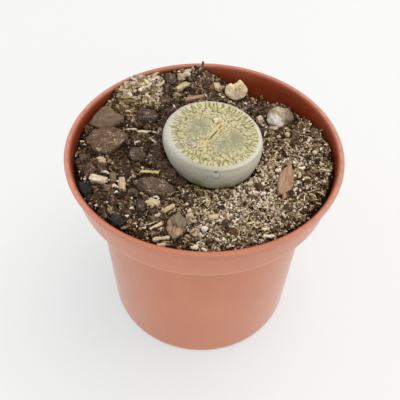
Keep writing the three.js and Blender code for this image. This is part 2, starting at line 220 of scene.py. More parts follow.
def add_piece(name, mesh, material, slot=None, replaces=(), flat=False):
    piece = new_object(name, mesh)
    mesh.materials.clear()
    mesh.materials.append(material)
    if flat:
        mesh.shade_flat()
    else:
        mesh.shade_smooth()
    if slot:
        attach(piece, "root")
    if replaces:
        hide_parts(*replaces)
    return piece


def set_values(mesh, name, values):
    """Gives each point of a mesh a number or a vector, which materials read by name."""
    values = np.asarray(values, np.float32)
    kind, field = ("FLOAT_VECTOR", "vector") if values.ndim == 2 else ("FLOAT", "value")
    mesh.attributes.new(name, kind, "POINT").data.foreach_set(field, values.ravel())


def vectors_of(rows, name):
    vectors = np.zeros(len(rows) * 3)
    rows.foreach_get(name, vectors)
    return vectors.reshape(-1, 3)


def ring_faces(rings, around):
    """Quads between rings of points that follow each other, each ring closed on itself."""
    ring, side = np.meshgrid(np.arange(rings - 1), np.arange(around), indexing="ij")
    following = (side + 1) % around
    quads = [ring * around + side, ring * around + following]
    quads += [(ring + 1) * around + following, (ring + 1) * around + side]
    return np.stack(quads, axis=-1).reshape(-1, 4)


def cap_faces(centre, first, around, flipped):
    side = np.arange(around)
    following = (side + 1) % around
    ends = [first + following, first + side] if flipped else [first + side, first + following]
    return np.column_stack([np.full(around, centre)] + ends)


def tube_faces(rings, around, first=0, inward=False):
    """Quads round a tube, and triangles that close it at the two points that follow its rings."""
    quads = ring_faces(rings, around)[:, ::-1] if inward else ring_faces(rings, around)
    end = first + rings * around
    start_cap = cap_faces(end, first, around, not inward)
    return quads + first, start_cap, cap_faces(end + 1, end - around, around, inward)


# Materials


def srgb(red, green, blue):
    shares = [value / 255 for value in (red, green, blue)]
    linear = [s / 12.92 if s <= 0.04045 else ((s + 0.055) / 1.055) ** 2.4 for s in shares]
    return (*linear, 1.0)


class Look:
    """One node material. A factor may be a socket, a number, or the name of a value that the mesh holds,
    and a colour a socket, linear RGBA, or red, green and blue up to 255."""

    def __init__(self, name, roughness, **constants):
        self.material = bpy.data.materials.new(name)
        self.material.use_nodes = True
        self.tree = self.material.node_tree
        self.shader = self.tree.nodes["Principled BSDF"]
        self.shader.inputs["Roughness"].default_value = roughness
        for socket, value in constants.items():
            self.shader.inputs[socket.replace("_", " ")].default_value = value
        raw = self.node("ShaderNodeTexCoord", output="Object")
        self.places = self.stretched(raw, (1000, 1000, 1000))

    def put(self, socket, value):
        if isinstance(value, str):
            value = self.value(value)
        if isinstance(value, bpy.types.NodeSocket):
            self.tree.links.new(value, socket)
        else:
            socket.default_value = value

    def node(self, kind, inputs=None, output=0, **settings):
        made = self.tree.nodes.new(kind)
        for setting, value in settings.items():
            setattr(made, setting, value)
        for socket, value in (inputs or {}).items():
            self.put(made.inputs[socket], value)
        return made.outputs[output]

    def stretched(self, vector, factors):
        return self.node("ShaderNodeVectorMath", {0: vector, 1: factors}, operation="MULTIPLY")

    def noise(self, size, detail=2.0, vector=None, roughness=0.55, output=0):
        inputs = {"Vector": vector or self.places, "Scale": 1 / size, "Detail": detail,
                  "Roughness": roughness}
        return self.node("ShaderNodeTexNoise", inputs, output)

    def cells(self, size, uneven):
        """Two random numbers for each cell, where a noise makes the cells' borders uneven."""
        shift = self.stretched(self.noise(uneven, roughness=0.5, output=1), (uneven,) * 3)
        places = self.node("ShaderNodeVectorMath", {0: self.places, 1: shift}, operation="ADD")
        colour = self.node("ShaderNodeTexVoronoi", {"Vector": places, "Scale": 1 / size}, "Color")
        return [self.node("ShaderNodeSeparateColor", {0: colour}, part) for part in (0, 1)]

    def value(self, name, output="Fac"):
        return self.node("ShaderNodeAttribute", output=output, attribute_name=name)

    def paint(self, colour):
        return srgb(*colour) if isinstance(colour, tuple) and len(colour) == 3 else colour

    def ramp(self, factor, *stops):
        made = self.tree.nodes.new("ShaderNodeValToRGB")
        while len(made.color_ramp.elements) < len(stops):
            made.color_ramp.elements.new(0.5)
        for element, (place, colour) in zip(made.color_ramp.elements, stops):
            element.position = place
            element.color = self.paint(colour)
        self.put(made.inputs["Fac"], factor)
        return made.outputs["Color"]

    def span(self, factor, low, high, out_low=0.0, out_high=1.0, smooth=True):
        inputs = {"Value": factor, 1: low, 2: high, 3: out_low, 4: out_high}
        kind = "SMOOTHSTEP" if smooth else "LINEAR"
        return self.node("ShaderNodeMapRange", inputs, interpolation_type=kind)

    def line(self, factor, low, high, out_low, out_high):
        return self.span(factor, low, high, out_low, out_high, smooth=False)

    def math(self, operation, first, second=0.0):
        return self.node("ShaderNodeMath", {0: first, 1: second}, operation=operation)

    def add(self, first, second):
        return self.math("ADD", first, second)

    def times(self, first, second):
        return self.math("MULTIPLY", first, second)

    def mix(self, factor, first, second, blend="MIX"):
        inputs = {0: factor, 6: self.paint(first), 7: self.paint(second)}
        return self.node("ShaderNodeMix", inputs, 2, data_type="RGBA", blend_type=blend)

    def over(self, colour, *layers):
        """Lays further colours over the first one, each by its factor."""
        for factor, upper in layers:
            colour = self.mix(factor, colour, upper)
        return colour

    def tinted(self, tone, stops, hue):
        return self.mix(1.0, self.ramp(tone, *stops), self.ramp(hue, *TINTS), "MULTIPLY")

    def finish(self, colour, height=None, depth=0.0, roughness=None):
        """Links the colour, bumps of at most depth millimetres and an uneven roughness to the shader."""
        self.put(self.shader.inputs["Base Color"], colour)
        if height:
            inputs = {"Strength": 1.0, "Distance": depth * MM, "Height": height}
            self.put(self.shader.inputs["Normal"], self.node("ShaderNodeBump", inputs))
        if roughness:
            self.put(self.shader.inputs["Roughness"], roughness)
        return self.material


# Tints by hue: red-brown, warm, neutral, yellow, olive and cool grey
TINTS = [
    (0, (1, 0.74, 0.6, 1)), (0.25, (1, 0.92, 0.84, 1)), (0.5, (1, 1, 1, 1)), (0.72, (1, 0.93, 0.66, 1)),
    (0.87, (0.88, 0.93, 0.66, 1)), (1, (0.86, 0.93, 1, 1)),
]
# Colours of loose grains, by tone
MIX_TONES = [
    (0, (24, 14, 6)), (0.2, (60, 42, 24)), (0.4, (112, 90, 63)), (0.6, (166, 144, 115)),
    (0.8, (216, 200, 180)), (1, (247, 239, 228)),
]
BARK_TONES = [
    (0, (30, 20, 12)), (0.3, (66, 49, 37)), (0.6, (108, 87, 70)), (0.85, (152, 131, 111)),
    (1, (198, 180, 159)),
]
STRAW_TONES = [
    (0, (80, 60, 40)), (0.35, (140, 118, 88)), (0.65, (192, 173, 140)), (0.85, (220, 204, 166)),
    (1, (244, 236, 216)),
]
# Bark: dark, middle and pale colour, dust, and how rare the dust is
BARKS = {
    "bark_dusty": ((58, 42, 31), (94, 74, 60), (124, 100, 84), (182, 160, 136), 0.82),
    "bark_brown": ((62, 43, 28), (101, 75, 54), (132, 104, 82), (206, 182, 158), 0.86),
    "bark_grey": ((86, 65, 48), (118, 94, 75), (139, 114, 94), (172, 150, 126), 0.92),
    "bark_dark": ((38, 26, 17), (82, 63, 49), (126, 106, 89), (190, 172, 152), 0.85),
    "bark_black": ((18, 15, 13), (38, 34, 31), (66, 62, 59), (132, 134, 132), 0.88),
}
# Wood, straw and dry leaf: dark, middle and pale colour
WOODS = {
    "wood_cream": ((236, 210, 164), (252, 230, 188), (255, 243, 214)),
    "wood_fresh": ((150, 115, 84), (198, 168, 134), (230, 208, 180)),
    "wood_blond": ((156, 128, 98), (208, 184, 152), (240, 226, 204)),
    "wood_rosy": ((126, 92, 72), (164, 126, 104), (192, 158, 134)),
    "straw_dull": ((150, 124, 86), (196, 174, 130), (226, 210, 170)),
    "straw_gold": ((150, 124, 68), (200, 178, 112), (230, 216, 164)),
    "wood_olive": ((82, 62, 40), (118, 94, 66), (148, 124, 92)),
    "straw_wood": ((160, 136, 98), (212, 194, 154), (244, 232, 202)),
    "dry_leaf": ((128, 94, 70), (168, 128, 100), (198, 162, 130)),
}
# Stones: dark and pale colour, and that of their patches
STONES = {
    "stone_yellow": ((176, 158, 112), (222, 208, 166), (150, 134, 96)),
    "stone_white": ((226, 218, 204), (248, 243, 232), (196, 186, 168)),
    "stone_pale": ((178, 166, 146), (232, 226, 212), (150, 142, 128)),
}


def pot_look(name, sheen):
    look = Look(name, 0.42, Coat_Weight=0.2, Coat_Roughness=0.32, Subsurface_Weight=0.12,
                Subsurface_Radius=(1, 0.45, 0.25), Subsurface_Scale=1.5 * MM, Sheen_Weight=sheen,
                Sheen_Roughness=0.35)
    cloudy = look.noise(14, 3)
    streaks = look.noise(3, 2, look.stretched(look.places, (1, 1, 0.12)))
    ragged = look.span(look.noise(1.6, 3), 0.35, 0.6, 0.35, 1)
    scuffs = look.times(look.span(look.noise(0.5, 4, roughness=0.7), 0.66, 0.72), "lip")
    outer = look.over(
        look.ramp(cloudy, (0.3, (191, 113, 77)), (0.7, (197, 119, 83))),
        (look.span(streaks, 0.45, 0.8, 0, 0.25), (203, 130, 97)), ("low", (201, 112, 74)),
        # Painted shadow: a dark, ragged line under the lip, strongest in front
        (look.times("lip_shadow", ragged), (146, 62, 34)), (look.times("lip", 0.6), (190, 118, 86)),
        # Painted highlight: the lip paler towards its left and right sides
        ("lip_side_highlight", (212, 150, 128)), (look.times(scuffs, 0.5), (224, 180, 156)),
    )
    # The inside wall is a darker copy of the plastic, painted shade that lessens near the rim; dust lies
    # where it meets the mix
    inner = look.ramp(cloudy, (0.3, (124, 43, 8)), (0.7, (135, 50, 12)))
    inner = look.over(inner, ("less_shade_near_rim", (176, 86, 54)), ("dusty", (104, 66, 42)))
    wear = look.line(look.noise(0.9, 4, roughness=0.7), 0.3, 0.75, 0.36, 0.5)
    return look.finish(look.mix("inside", outer, inner), look.noise(0.5, 3, roughness=0.6), 0.012, wear)


def grain_look(name, stops, roughness=0.9, depth=0.03, dusty=False):
    """Loose grains: each has a tone of its own from 0, the darkest, to 1, the palest."""
    look = Look(name, roughness, Specular_IOR_Level=0.25)
    tone = look.add("tone", look.line(look.noise(0.3, 2, roughness=0.65), 0.28, 0.72, -0.16, 0.16))
    if dusty:
        tone = look.add(tone, look.line(look.cells(0.34, 0.4)[0], 0.6, 1, -0.03, 0.4))
    return look.finish(look.tinted(tone, stops, "hue"), look.noise(0.22, 3), depth)


def soil_look():
    look = Look("soil", 0.95, Specular_IOR_Level=0.2)
    fine = look.noise(0.32, 4, roughness=0.7)
    chance, hue = look.cells(0.42, 0.5)
    tone = look.add("tone", look.line(fine, 0.25, 0.75, -0.16, 0.16))
    tone = look.add(tone, look.line(chance, 0, 1, -0.16, 0.22))
    tone = look.add(tone, look.line(look.noise(2.4, 3), 0.3, 0.7, -0.06, 0.06))
    return look.finish(look.tinted(tone, MIX_TONES, hue), fine, 0.12)


def bark_look(name, dark, middle, pale, dust, dust_share):
    """Weathered bark with grain along the piece and pale dust in its pits."""
    look = Look(name, 0.8, Specular_IOR_Level=0.4)
    local = look.value("grain", "Vector")
    streaks = look.noise(0.55, 4, look.stretched(local, (0.22, 1, 1)), 0.65)
    blend = look.add(look.times(streaks, 0.6), look.times(look.noise(1.3, 3, local), 0.4))
    specks = look.noise(0.32, 3, roughness=0.7)
    where = look.add(specks, look.times(look.noise(2.2, 2), 0.5))
    colour = look.ramp(blend, (0.32, dark), (0.5, middle), (0.68, pale))
    colour = look.mix(look.span(where, dust_share, dust_share + 0.06), colour, dust)
    return look.finish(colour, look.add(streaks, look.times(specks, 0.6)), 0.14)


def wood_look(name, dark, middle, pale):
    """Fresh split wood or straw: long fibres, a few dark lines and scuffs, and painted shade along its long
    sides.
    """
    look = Look(name, 0.72)
    local = look.value("grain", "Vector")
    fibres = look.noise(0.3, 3, look.stretched(local, (0.1, 1, 1)), 0.6)
    bands = look.noise(1.4, 2, look.stretched(local, (0.35, 1, 1)))
    blend = look.add(look.times(fibres, 0.65), look.times(bands, 0.35))
    dirt = look.span(look.noise(0.6, 4, roughness=0.7), 0.54, 0.68, 0, 0.75)
    # Painted shade: darker towards the long sides
    side_shade = look.span(look.math("ABSOLUTE", "across"), 0.7, 1, 0, 0.5)
    colour = look.ramp(blend, (0.3, dark), (0.48, middle), (0.66, pale))
    return look.finish(look.over(colour, (dirt, (112, 86, 60)), (side_shade, dark)), fibres, 0.08)


def stone_look(name, dark, pale, patch):
    look = Look(name, 0.7)
    colour = look.ramp(look.noise(1.5, 4, roughness=0.6), (0.35, dark), (0.65, pale))
    colour = look.mix(look.span(look.noise(0.6, 3), 0.58, 0.7, 0, 0.8), colour, patch)
    return look.finish(colour, look.noise(0.4, 4), 0.08)


def folded_look(name):
    """A flake whose far half is grey-olive and whose near half, past the fold, is tan."""
    look = Look(name, 0.8)
    local = look.value("grain", "Vector")
    fibres = look.noise(0.4, 4, look.stretched(local, (0.2, 1, 1)), 0.62)
    far = look.ramp(fibres, (0.32, (98, 82, 60)), (0.66, (146, 130, 104)))
    near = look.ramp(fibres, (0.32, (118, 88, 60)), (0.66, (190, 160, 124)))
    edge = look.add("along", look.span(look.noise(1.2, 2), 0.3, 0.7, -0.12, 0.12))
    edge = look.add(edge, look.times("across", -0.4))
    crease = look.times(look.span(edge, -0.12, -0.02), look.span(edge, 0.1, 0))
    tip = look.span(edge, -0.55, -0.75)
    colour = look.over(near, (look.span(edge, -0.06, 0.04), far), (look.times(crease, 0.8), (84, 56, 38)),
                       (look.times(tip, 0.6), (92, 76, 58)))
    return look.finish(colour, fibres, 0.1)


def mottled_look(name):
    """A pebble that is whitish at its front left and brownish at its right."""
    look = Look(name, 0.75)
    cloudy = look.noise(1.6, 4, roughness=0.65)
    uneven = look.span(cloudy, 0.3, 0.7, -0.3, 0.3)
    to_right = look.add("right", uneven)
    to_front_left = look.add(look.add("right", "back"), uneven)
    colour = look.over(
        look.ramp(cloudy, (0.32, (128, 110, 84)), (0.5, (178, 162, 134)), (0.66, (206, 194, 170))),
        (look.span(to_right, 0.15, 0.6, 0, 0.75), (112, 88, 64)),
        (look.span(look.noise(0.5, 3), 0.55, 0.68, 0, 0.7), (120, 104, 80)),
        (look.span(to_front_left, -0.6, -1, 0, 0.9), (240, 234, 226)),
    )
    return look.finish(colour, look.noise(0.4, 4), 0.2)


def plant_look():
    """Waxy skin: cream islands, olive channels and grey-green windows on the face, grey-white sides."""
    look = Look("plant", 0.55, Subsurface_Weight=0.22, Subsurface_Radius=(1, 0.85, 0.5),
                Subsurface_Scale=1.2 * MM, Coat_Weight=0.08, Coat_Roughness=0.5)
    cloud = look.noise(2.6, 3)
    mottle = look.noise(0.5, 3, roughness=0.6)
    island = look.over(
        look.ramp(mottle, (0.3, (202, 190, 140)), (0.7, (224, 214, 172))),
        (look.span(cloud, 0.45, 0.7, 0, 0.4), (198, 194, 132)), ("window", (159, 153, 122)),
        ("warm", (216, 192, 138)), ("knob", (232, 217, 174)), ("lilac", (182, 172, 172)),
    )
    channel = look.over(look.ramp(cloud, (0.35, (104, 94, 48)), (0.65, (122, 113, 66))),
                        ("window", (134, 129, 98)), ("warm", (168, 118, 66)))
    face = look.over(island, ("channel", channel), ("split", (92, 74, 34)))
    side = look.over(
        look.ramp(cloud, (0.3, (182, 180, 165)), (0.7, (193, 190, 177))),
        # Painted shade: the shoulder darker, against the light it catches from above
        ("shoulder_shade", look.ramp(cloud, (0.3, (177, 172, 155)), (0.7, (186, 181, 165)))),
        # Painted light: the side paler towards the right, and a paler grey at the left
        (look.span("painted_sun", 0.4, 1, 0, 0.85), (217, 212, 194)),
        (look.span("painted_sun", 0.35, 0, 0, 0.75), (209, 209, 198)),
        # Painted shade: the side darker towards the mix; moss and dark dots are the plant's own colour
        ("foot_shade", (150, 149, 118)), ("moss", (146, 146, 70)), ("mark", (88, 88, 66)),
    )
    return look.finish(look.mix("side", face, side), look.noise(0.16, 2), 0.015,
                       look.line(mottle, 0.3, 0.7, 0.48, 0.62))


# The pot


def rounded_profile(corners, steps=5):
    """Replaces each corner by an arc that starts and ends its rounding away from it."""
    rows = np.array(corners, float)
    points = [rows[0, :2]]
    for before, middle, after, rounding in zip(rows[:-2, :2], rows[1:-1, :2], rows[2:, :2], rows[1:-1, 2]):
        back, ahead = before - middle, after - middle
        back_length, ahead_length = np.linalg.norm(back), np.linalg.norm(ahead)
        reach = min(rounding, 0.45 * back_length, 0.45 * ahead_length)
        if reach < 0.02:
            points.append(middle)
            continue
        start = middle + back / back_length * reach
        end = middle + ahead / ahead_length * reach
        for share in np.linspace(0, 1, steps + 1):
            points.append((1 - share) ** 2 * start + 2 * share * (1 - share) * middle + share ** 2 * end)
    return np.array(points + [rows[-1, :2]])


def long_edges_divided(points, longest):
    divided = [points[0]]
    for start, end in zip(points[:-1], points[1:]):
        count = max(1, math.ceil(np.linalg.norm(end - start) / longest))
        divided += [start + (end - start) * share for share in np.arange(1, count + 1) / count]
    return np.array(divided)


def lip_rise(places):
    """How much the soft plastic lip is bowed up, in front only."""
    forward = -places[:, 1] / np.maximum(1, np.hypot(places[:, 0], places[:, 1]))
    return LIP_BOW * np.clip((forward - 0.45) / 0.55, 0, 1) ** 2 * smoothstep(places[:, 2], 45.5, 52)


def make_pot(material, inside_material):
    profile = long_edges_divided(rounded_profile(POT_PROFILE), longest=1.6)
    angles = circle(POT_SEGMENTS)
    radius, level = profile[1:-1, :1], profile[1:-1, 1:]
    points = np.stack([radius * np.cos(angles), radius * np.sin(angles), level + 0 * angles], axis=-1)
    middles = [[0, 0, profile[0, 1]], [0, 0, profile[-1, 1]]]
    mesh = new_mesh("pot_shell", np.vstack([points.reshape(-1, 3), middles]),
                    *tube_faces(len(level), POT_SEGMENTS))
    pot = add_piece("pot_shell", mesh, material, "pot_plastic", ["pot"])
    drill_holes(pot)

    mesh = pot.data
    places = vectors_of(mesh.vertices, "co") / MM
    x, y, height = places.T
    distance = np.hypot(x, y)
    within = (distance < wall_inside(height) + 0.45) & (height > INSIDE_FROM)
    outside = distance > wall_inside(height) + 0.6
    # How strongly the painted shadow under the lip shows: most in front
    front = 0.35 + 0.65 * smoothstep(-y, 5, 28)
    lip = outside * smoothstep(height, LIP_FROM, 52.6)
    dust = 1 - smoothstep(height - soil_base(x, y), 0, 1.6)
    values = {
        # Painted shade: the inside wall and the lip's inner edge darker, less so near the rim
        "inside": np.where(height > LIP_FROM, smoothstep(-distance, -31.4, -30.9), within),
        "less_shade_near_rim": 0.35 * smoothstep(height, 50.5, 52.6),
        "low": 0.8 * (1 - smoothstep(height, 0.5, 5.5)),
        "lip_shadow": outside * front * smoothstep(height, 50.8, 52) * (height < 52.5),
        "lip": lip,
        # Painted highlight on the lip's left and right sides
        "lip_side_highlight": 0.7 * lip * smoothstep(np.abs(x), 14, 29),
        "dusty": 0.25 * dust * (0.5 + 0.5 * noise(places, 1.2, 5)),
    }
    for name, value in values.items():
        set_values(mesh, name, value)
    mesh.materials.append(inside_material)
    x, y, height = vectors_of(mesh.polygons, "center").T / MM
    inside_faces = (np.hypot(x, y) < wall_inside(height) + 0.4) & (height > INSIDE_FROM)
    mesh.polygons.foreach_set("material_index", inside_faces.astype(np.int32))
    places[:, 2] += lip_rise(places)
    mesh.vertices.foreach_set("co", (places * MM).ravel())


def drill_holes(pot):
    around, below, above = 32, -1, 4
    angles = circle(around)
    centres = [(0, 0)]
    for turn in circle(DRAIN_HOLES):
        centres.append((DRAIN_HOLE_CIRCLE * math.cos(turn), DRAIN_HOLE_CIRCLE * math.sin(turn)))
    points, quads, caps = [], [], []
    for hole, (x, y) in enumerate(centres):
        ring = [x + DRAIN_HOLE_RADIUS * np.cos(angles), y + DRAIN_HOLE_RADIUS * np.sin(angles)]
        points += [np.column_stack(ring + [np.full(around, height)]) for height in (below, above)]
        points.append([[x, y, below], [x, y, above]])
        sides, *ends = tube_faces(2, around, hole * (2 * around + 2))
        quads.append(sides)
        caps += ends
    cutter = new_object("cutter", new_mesh("cutter", np.vstack(points), *quads, *caps))
    cut = pot.modifiers.new("holes", "BOOLEAN")
    cut.operation = "DIFFERENCE"
    cut.solver = "EXACT"
    cut.object = cutter
    drilled = evaluated_mesh(pot)
    pot.modifiers.clear()
    pot.data = drilled
    bpy.data.objects.remove(cutter)


# The plant


def catmull_rom(rows, count, steps_between=24):
    """count points, evenly spaced in length, on a smooth line through rows."""
    rows = np.array(rows, float)
    padded = np.vstack([2 * rows[0] - rows[1], rows, 2 * rows[-1] - rows[-2]])
    line = []
    for p0, p1, p2, p3 in zip(padded[:-3], padded[1:-2], padded[2:-1], padded[3:]):
        for t in np.linspace(0, 1, steps_between, endpoint=False):
            line.append(0.5 * (2 * p1 + (p2 - p0) * t + (2 * p0 - 5 * p1 + 4 * p2 - p3) * t * t
                               + (3 * p1 - p0 - 3 * p2 + p3) * t ** 3))
    line = np.array(line + [rows[-1]])
    steps = np.concatenate([[0], np.cumsum(np.linalg.norm(np.diff(line, axis=0), axis=1))])
    wanted = np.linspace(0, steps[-1], count)
    return np.column_stack([np.interp(wanted, steps, column) for column in line.T])


def scattered_seeds(random, spacing, reach=11.6, attempts=9000):
    """Points in a disc, no two of them closer than spacing."""
    kept = []
    for _ in range(attempts):
        candidate = random.uniform(-reach, reach, 2)
        if np.hypot(*candidate) > reach:
            continue
        if all(np.hypot(*(candidate - other)) > spacing for other in kept):
            kept.append(candidate)
    return np.array(kept)


def cell_edges(points, seeds, squeeze):
    """How far the border of a cell is, and its middle: a squeeze below 1 makes cells long radially."""
    radial = points / (np.hypot(points[:, 0], points[:, 1]) + 1e-6)[:, None]
    nearest = np.full(len(points), 1e9)
    second = nearest
    for seed in seeds:
        apart = points - seed
        along = (apart * radial).sum(axis=1)
        across = apart[:, 0] * -radial[:, 1] + apart[:, 1] * radial[:, 0]
        far = np.hypot(along * squeeze, across)
        second = np.minimum(second, np.maximum(nearest, far))
        nearest = np.minimum(nearest, far)
    return second - nearest, nearest


def margin_dashes(angle, share, count=80):
    """Short dark strokes that point outwards, all round the edge of the face."""
    random = np.random.default_rng(41)
    strokes = np.zeros_like(angle)
    outline = face_outline(angle)
    for index in range(count):
        middle = (index + random.uniform(-0.32, 0.32)) / count * TURN
        inner = random.uniform(0.78, 0.9)
        outer = random.uniform(0.93, 1.01) + 0.06 * back_reach(middle)
        width = random.uniform(0.12, 0.2)
        lean = random.uniform(-0.35, 0.35)
        apart = (angle - middle + math.pi) % TURN - math.pi
        wobble = lean * (share - inner) * outline + 0.06 * np.sin(share * 46 + index)
        across = np.abs(apart * share * outline - wobble)
        within = smoothstep(share, inner - 0.02, inner + 0.02)
        within *= 1 - smoothstep(share, outer - 0.02, outer + 0.015)
        strokes = np.maximum(strokes, within * (1 - smoothstep(across, width * 0.55, width * 1.35)))
    return strokes


def side_share(share, angle):
    """From 0 on the face to 1 on the side: the change is soft at the left and sharp elsewhere."""
    start = 0.962 + 0.06 * back_reach(angle)
    left = smoothstep(-np.cos(angle), 0.45, 0.95)
    return np.maximum(smoothstep(share, start, start + 0.035), 0.55 * left * smoothstep(share, 0.82, 0.98))


# How much painted light the plant's side gets, from 0 to 1: most towards the right
def painted_sunlight(angle):
    return 0.5 + 0.5 * np.cos(angle - math.radians(-5))


def face_pattern(x, y, share):
    """The net of dark lines, the windows, and how near a cell's middle is, round the plant's centre."""
    random = np.random.default_rng(29)
    warp = np.column_stack([flat_noise(x, y, 1.1, 21), flat_noise(x, y, 1.1, 22)])
    warped = np.column_stack([x, y]) + 0.42 * warp
    squeeze = 1 - 0.55 * smoothstep(share, 0.45, 0.85)
    coarse, near = cell_edges(warped, scattered_seeds(random, 0.72), squeeze)
    fine, _ = cell_edges(warped + 0.1 * warp[:, ::-1], scattered_seeds(random, 0.52), squeeze)
    broken = smoothstep(flat_noise(x, y, 0.9, 23), -0.5, 0.35)
    width = 0.08 + 0.15 * broken
    lines = (1 - smoothstep(coarse, width * 0.55, width * 1.5)) * (0.35 + 0.65 * broken)
    twigs = (1 - smoothstep(fine, 0.04, 0.15)) * smoothstep(flat_noise(x, y, 1.3, 24), -0.05, 0.5)
    specks = smoothstep(flat_noise(x, y, 0.46, 28), 0.42, 0.75)
    specks *= smoothstep(flat_noise(x, y, 2.2, 29), -0.5, 0.4)
    lines = np.maximum.reduce([lines, 0.8 * twigs, 0.75 * specks]) * (1 - smoothstep(share, 0.82, 0.95))
    window = bumps(x, y, (0.95, -3.2, 3.6, 1.8), (0.95, -4.6, 0.6, 1.7), (1, 3.2, -3.4, 2),
                   (0.9, 5.2, -0.9, 1.6), (0.75, 0.4, -4.6, 1.4))
    return lines, np.clip(window * (0.8 + 0.5 * flat_noise(x, y, 1.2, 25)), 0, 1), near


def stroke(x, y, start, end, width):
    """A soft line between two points on the face, both in millimetres from the pot's axis."""
    place = np.column_stack([x, y]) + PLANT_CENTRE - start
    run = np.array(end, float) - start
    share = np.clip(place @ run / (run @ run), 0, 1)
    apart = np.linalg.norm(place - share[:, None] * run, axis=1)
    full = width * (0.55 + 0.45 * np.sin(math.pi * np.clip(share, 0.1, 0.9)))
    return 1 - smoothstep(apart, 0.45 * full, 1.25 * full)


def plant_face(angles):
    """Points of the face, ring by ring outwards, and what the material needs there."""
    shares = np.linspace(0, 1, FACE_RINGS + 1)[1:]
    share, angle = (grid.ravel() for grid in np.meshgrid(shares, angles, indexing="ij"))
    x = share * face_outline(angle) * np.cos(angle)
    y = share * face_outline(angle) * np.sin(angle)
    lines, window, near = face_pattern(x, y, share)
    dashes = margin_dashes(angle, share)
    bent_x = x + 0.1 * flat_noise(x, y, 0.9, 26)
    split = stroke(bent_x, y, (0.9, -0.6), (2.8, 2.5), 0.2)
    split_end = stroke(bent_x, y, (2.8, 2.5), (3.75, 5.7), 0.1)
    scar = stroke(bent_x, y, (3.25, 3.3), (3.8, 4.6), 0.16)
    lips = stroke(bent_x, y, (0.9, -0.6), (3.6, 5.2), 0.8)
    around_split = stroke(x, y, (1.6, 0.6), (3.9, 4.6), 1.1)
    warm = np.clip(0.25 * around_split + 0.5 * bump(x, y, 1.5, 2.2, 1.1) + 0.4 * scar, 0, 1)
    knob = bump(x, y, 0.3, 4.6, 0.45)
    # Dark strokes at the knob's left and lower right: painted shade beside its relief
    shade_ends = ((1.45, 6.7), (1.95, 5.5)), ((2.5, 5.1), (3.35, 5.6))
    knob_shade = np.maximum(*(stroke(x, y, *ends, 0.16) for ends in shade_ends))
    ring_distance = np.hypot(x + 1.9, y - 7.3)
    ring_dot = 1 - smoothstep(ring_distance, 0.1, 0.26)
    lines *= smoothstep(ring_distance, 0.55, 0.8) * (1 - smoothstep(knob, 0.2, 0.6)) * (1 - 0.75 * lips)
    lines *= 1 - 0.45 * window
    strokes = [0.9 * lines, 0.85 * dashes, ring_dot, knob_shade, scar, 0.7 * split_end]
    dome = np.clip(1 - near / 0.75, 0, 1) * (1 - dashes) * (1 - 0.7 * window)
    relief = 0.06 * dome - 0.14 * np.maximum(lines, dashes) - 0.6 * split + 0.1 * lips
    relief += 0.45 * knob - 0.15 * knob_shade - 0.16 * window - 0.12 * ring_dot
    relief += 0.09 * flat_noise(x, y, 3, 27)
    edge_fade = 1 - smoothstep(share, 0.97, 1)
    level = FACE_TOP - FACE_EDGE_DROP * share ** 2 - 0.3 + relief * edge_fade + 0.3 * (1 - edge_fade)
    # Painted light and the shoulder's painted shade also reach the face's edge, where it turns into the side
    values = {
        "painted_sun": painted_sunlight(angle),
        "channel": np.clip(np.maximum.reduce(strokes), 0, 1),
        "window": window * (1 - smoothstep(share, 0.75, 0.9)),
        "warm": np.clip(warm + 0.6 * bump(x, y, -2, -4, 0.9), 0, 1),
        "lilac": np.clip(bumps(x, y, (0.9, -5.1, -3.1, 0.7), (0.4, -3.5, -4.9, 0.6)), 0, 1),
        "side": side_share(share, angle) * (1 - 0.7 * dashes),
        "shoulder_shade": np.ones(len(x)),
        # The fissure's colour here also carries the knob's painted shade
        "split": np.maximum.reduce([split, 0.8 * scar, 0.7 * knob_shade]),
        "knob": 0.9 * smoothstep(knob, 0.25, 0.6) * (1 - knob_shade),
    }
    return np.column_stack([x + PLANT_CENTRE[0], y + PLANT_CENTRE[1], np.minimum(level, FACE_LIMIT)]), values


# Dark dots on the plant's side: direction in degrees, height, size and strength
SIDE_MARKS = [
    (-85.9, 54.35, 0.26, 1), (-94.9, 52.9, 0.16, 0.8), (-98, 51.8, 0.2, 0.7), (-108.6, 51.5, 0.17, 0.8),
    (-102.7, 50.7, 0.14, 0.7), (-108, 53.1, 0.16, 0.6), (-80.1, 54.65, 0.13, 0.7), (-91, 53.2, 0.12, 0.6),
    (-104.5, 51.2, 0.13, 0.8), (-112.5, 52.3, 0.12, 0.6), (-106, 50.2, 0.15, 0.7), (-61, 53.9, 0.12, 0.5),
    (72, 53.2, 0.16, 0.6), (118, 52.5, 0.2, 0.7), (161, 51.9, 0.15, 0.6), (10, 52.8, 0.14, 0.6),
]
RING_MARK = [2.66, -9.8, 53.55]
RING_MARK_RADIUS = 0.95


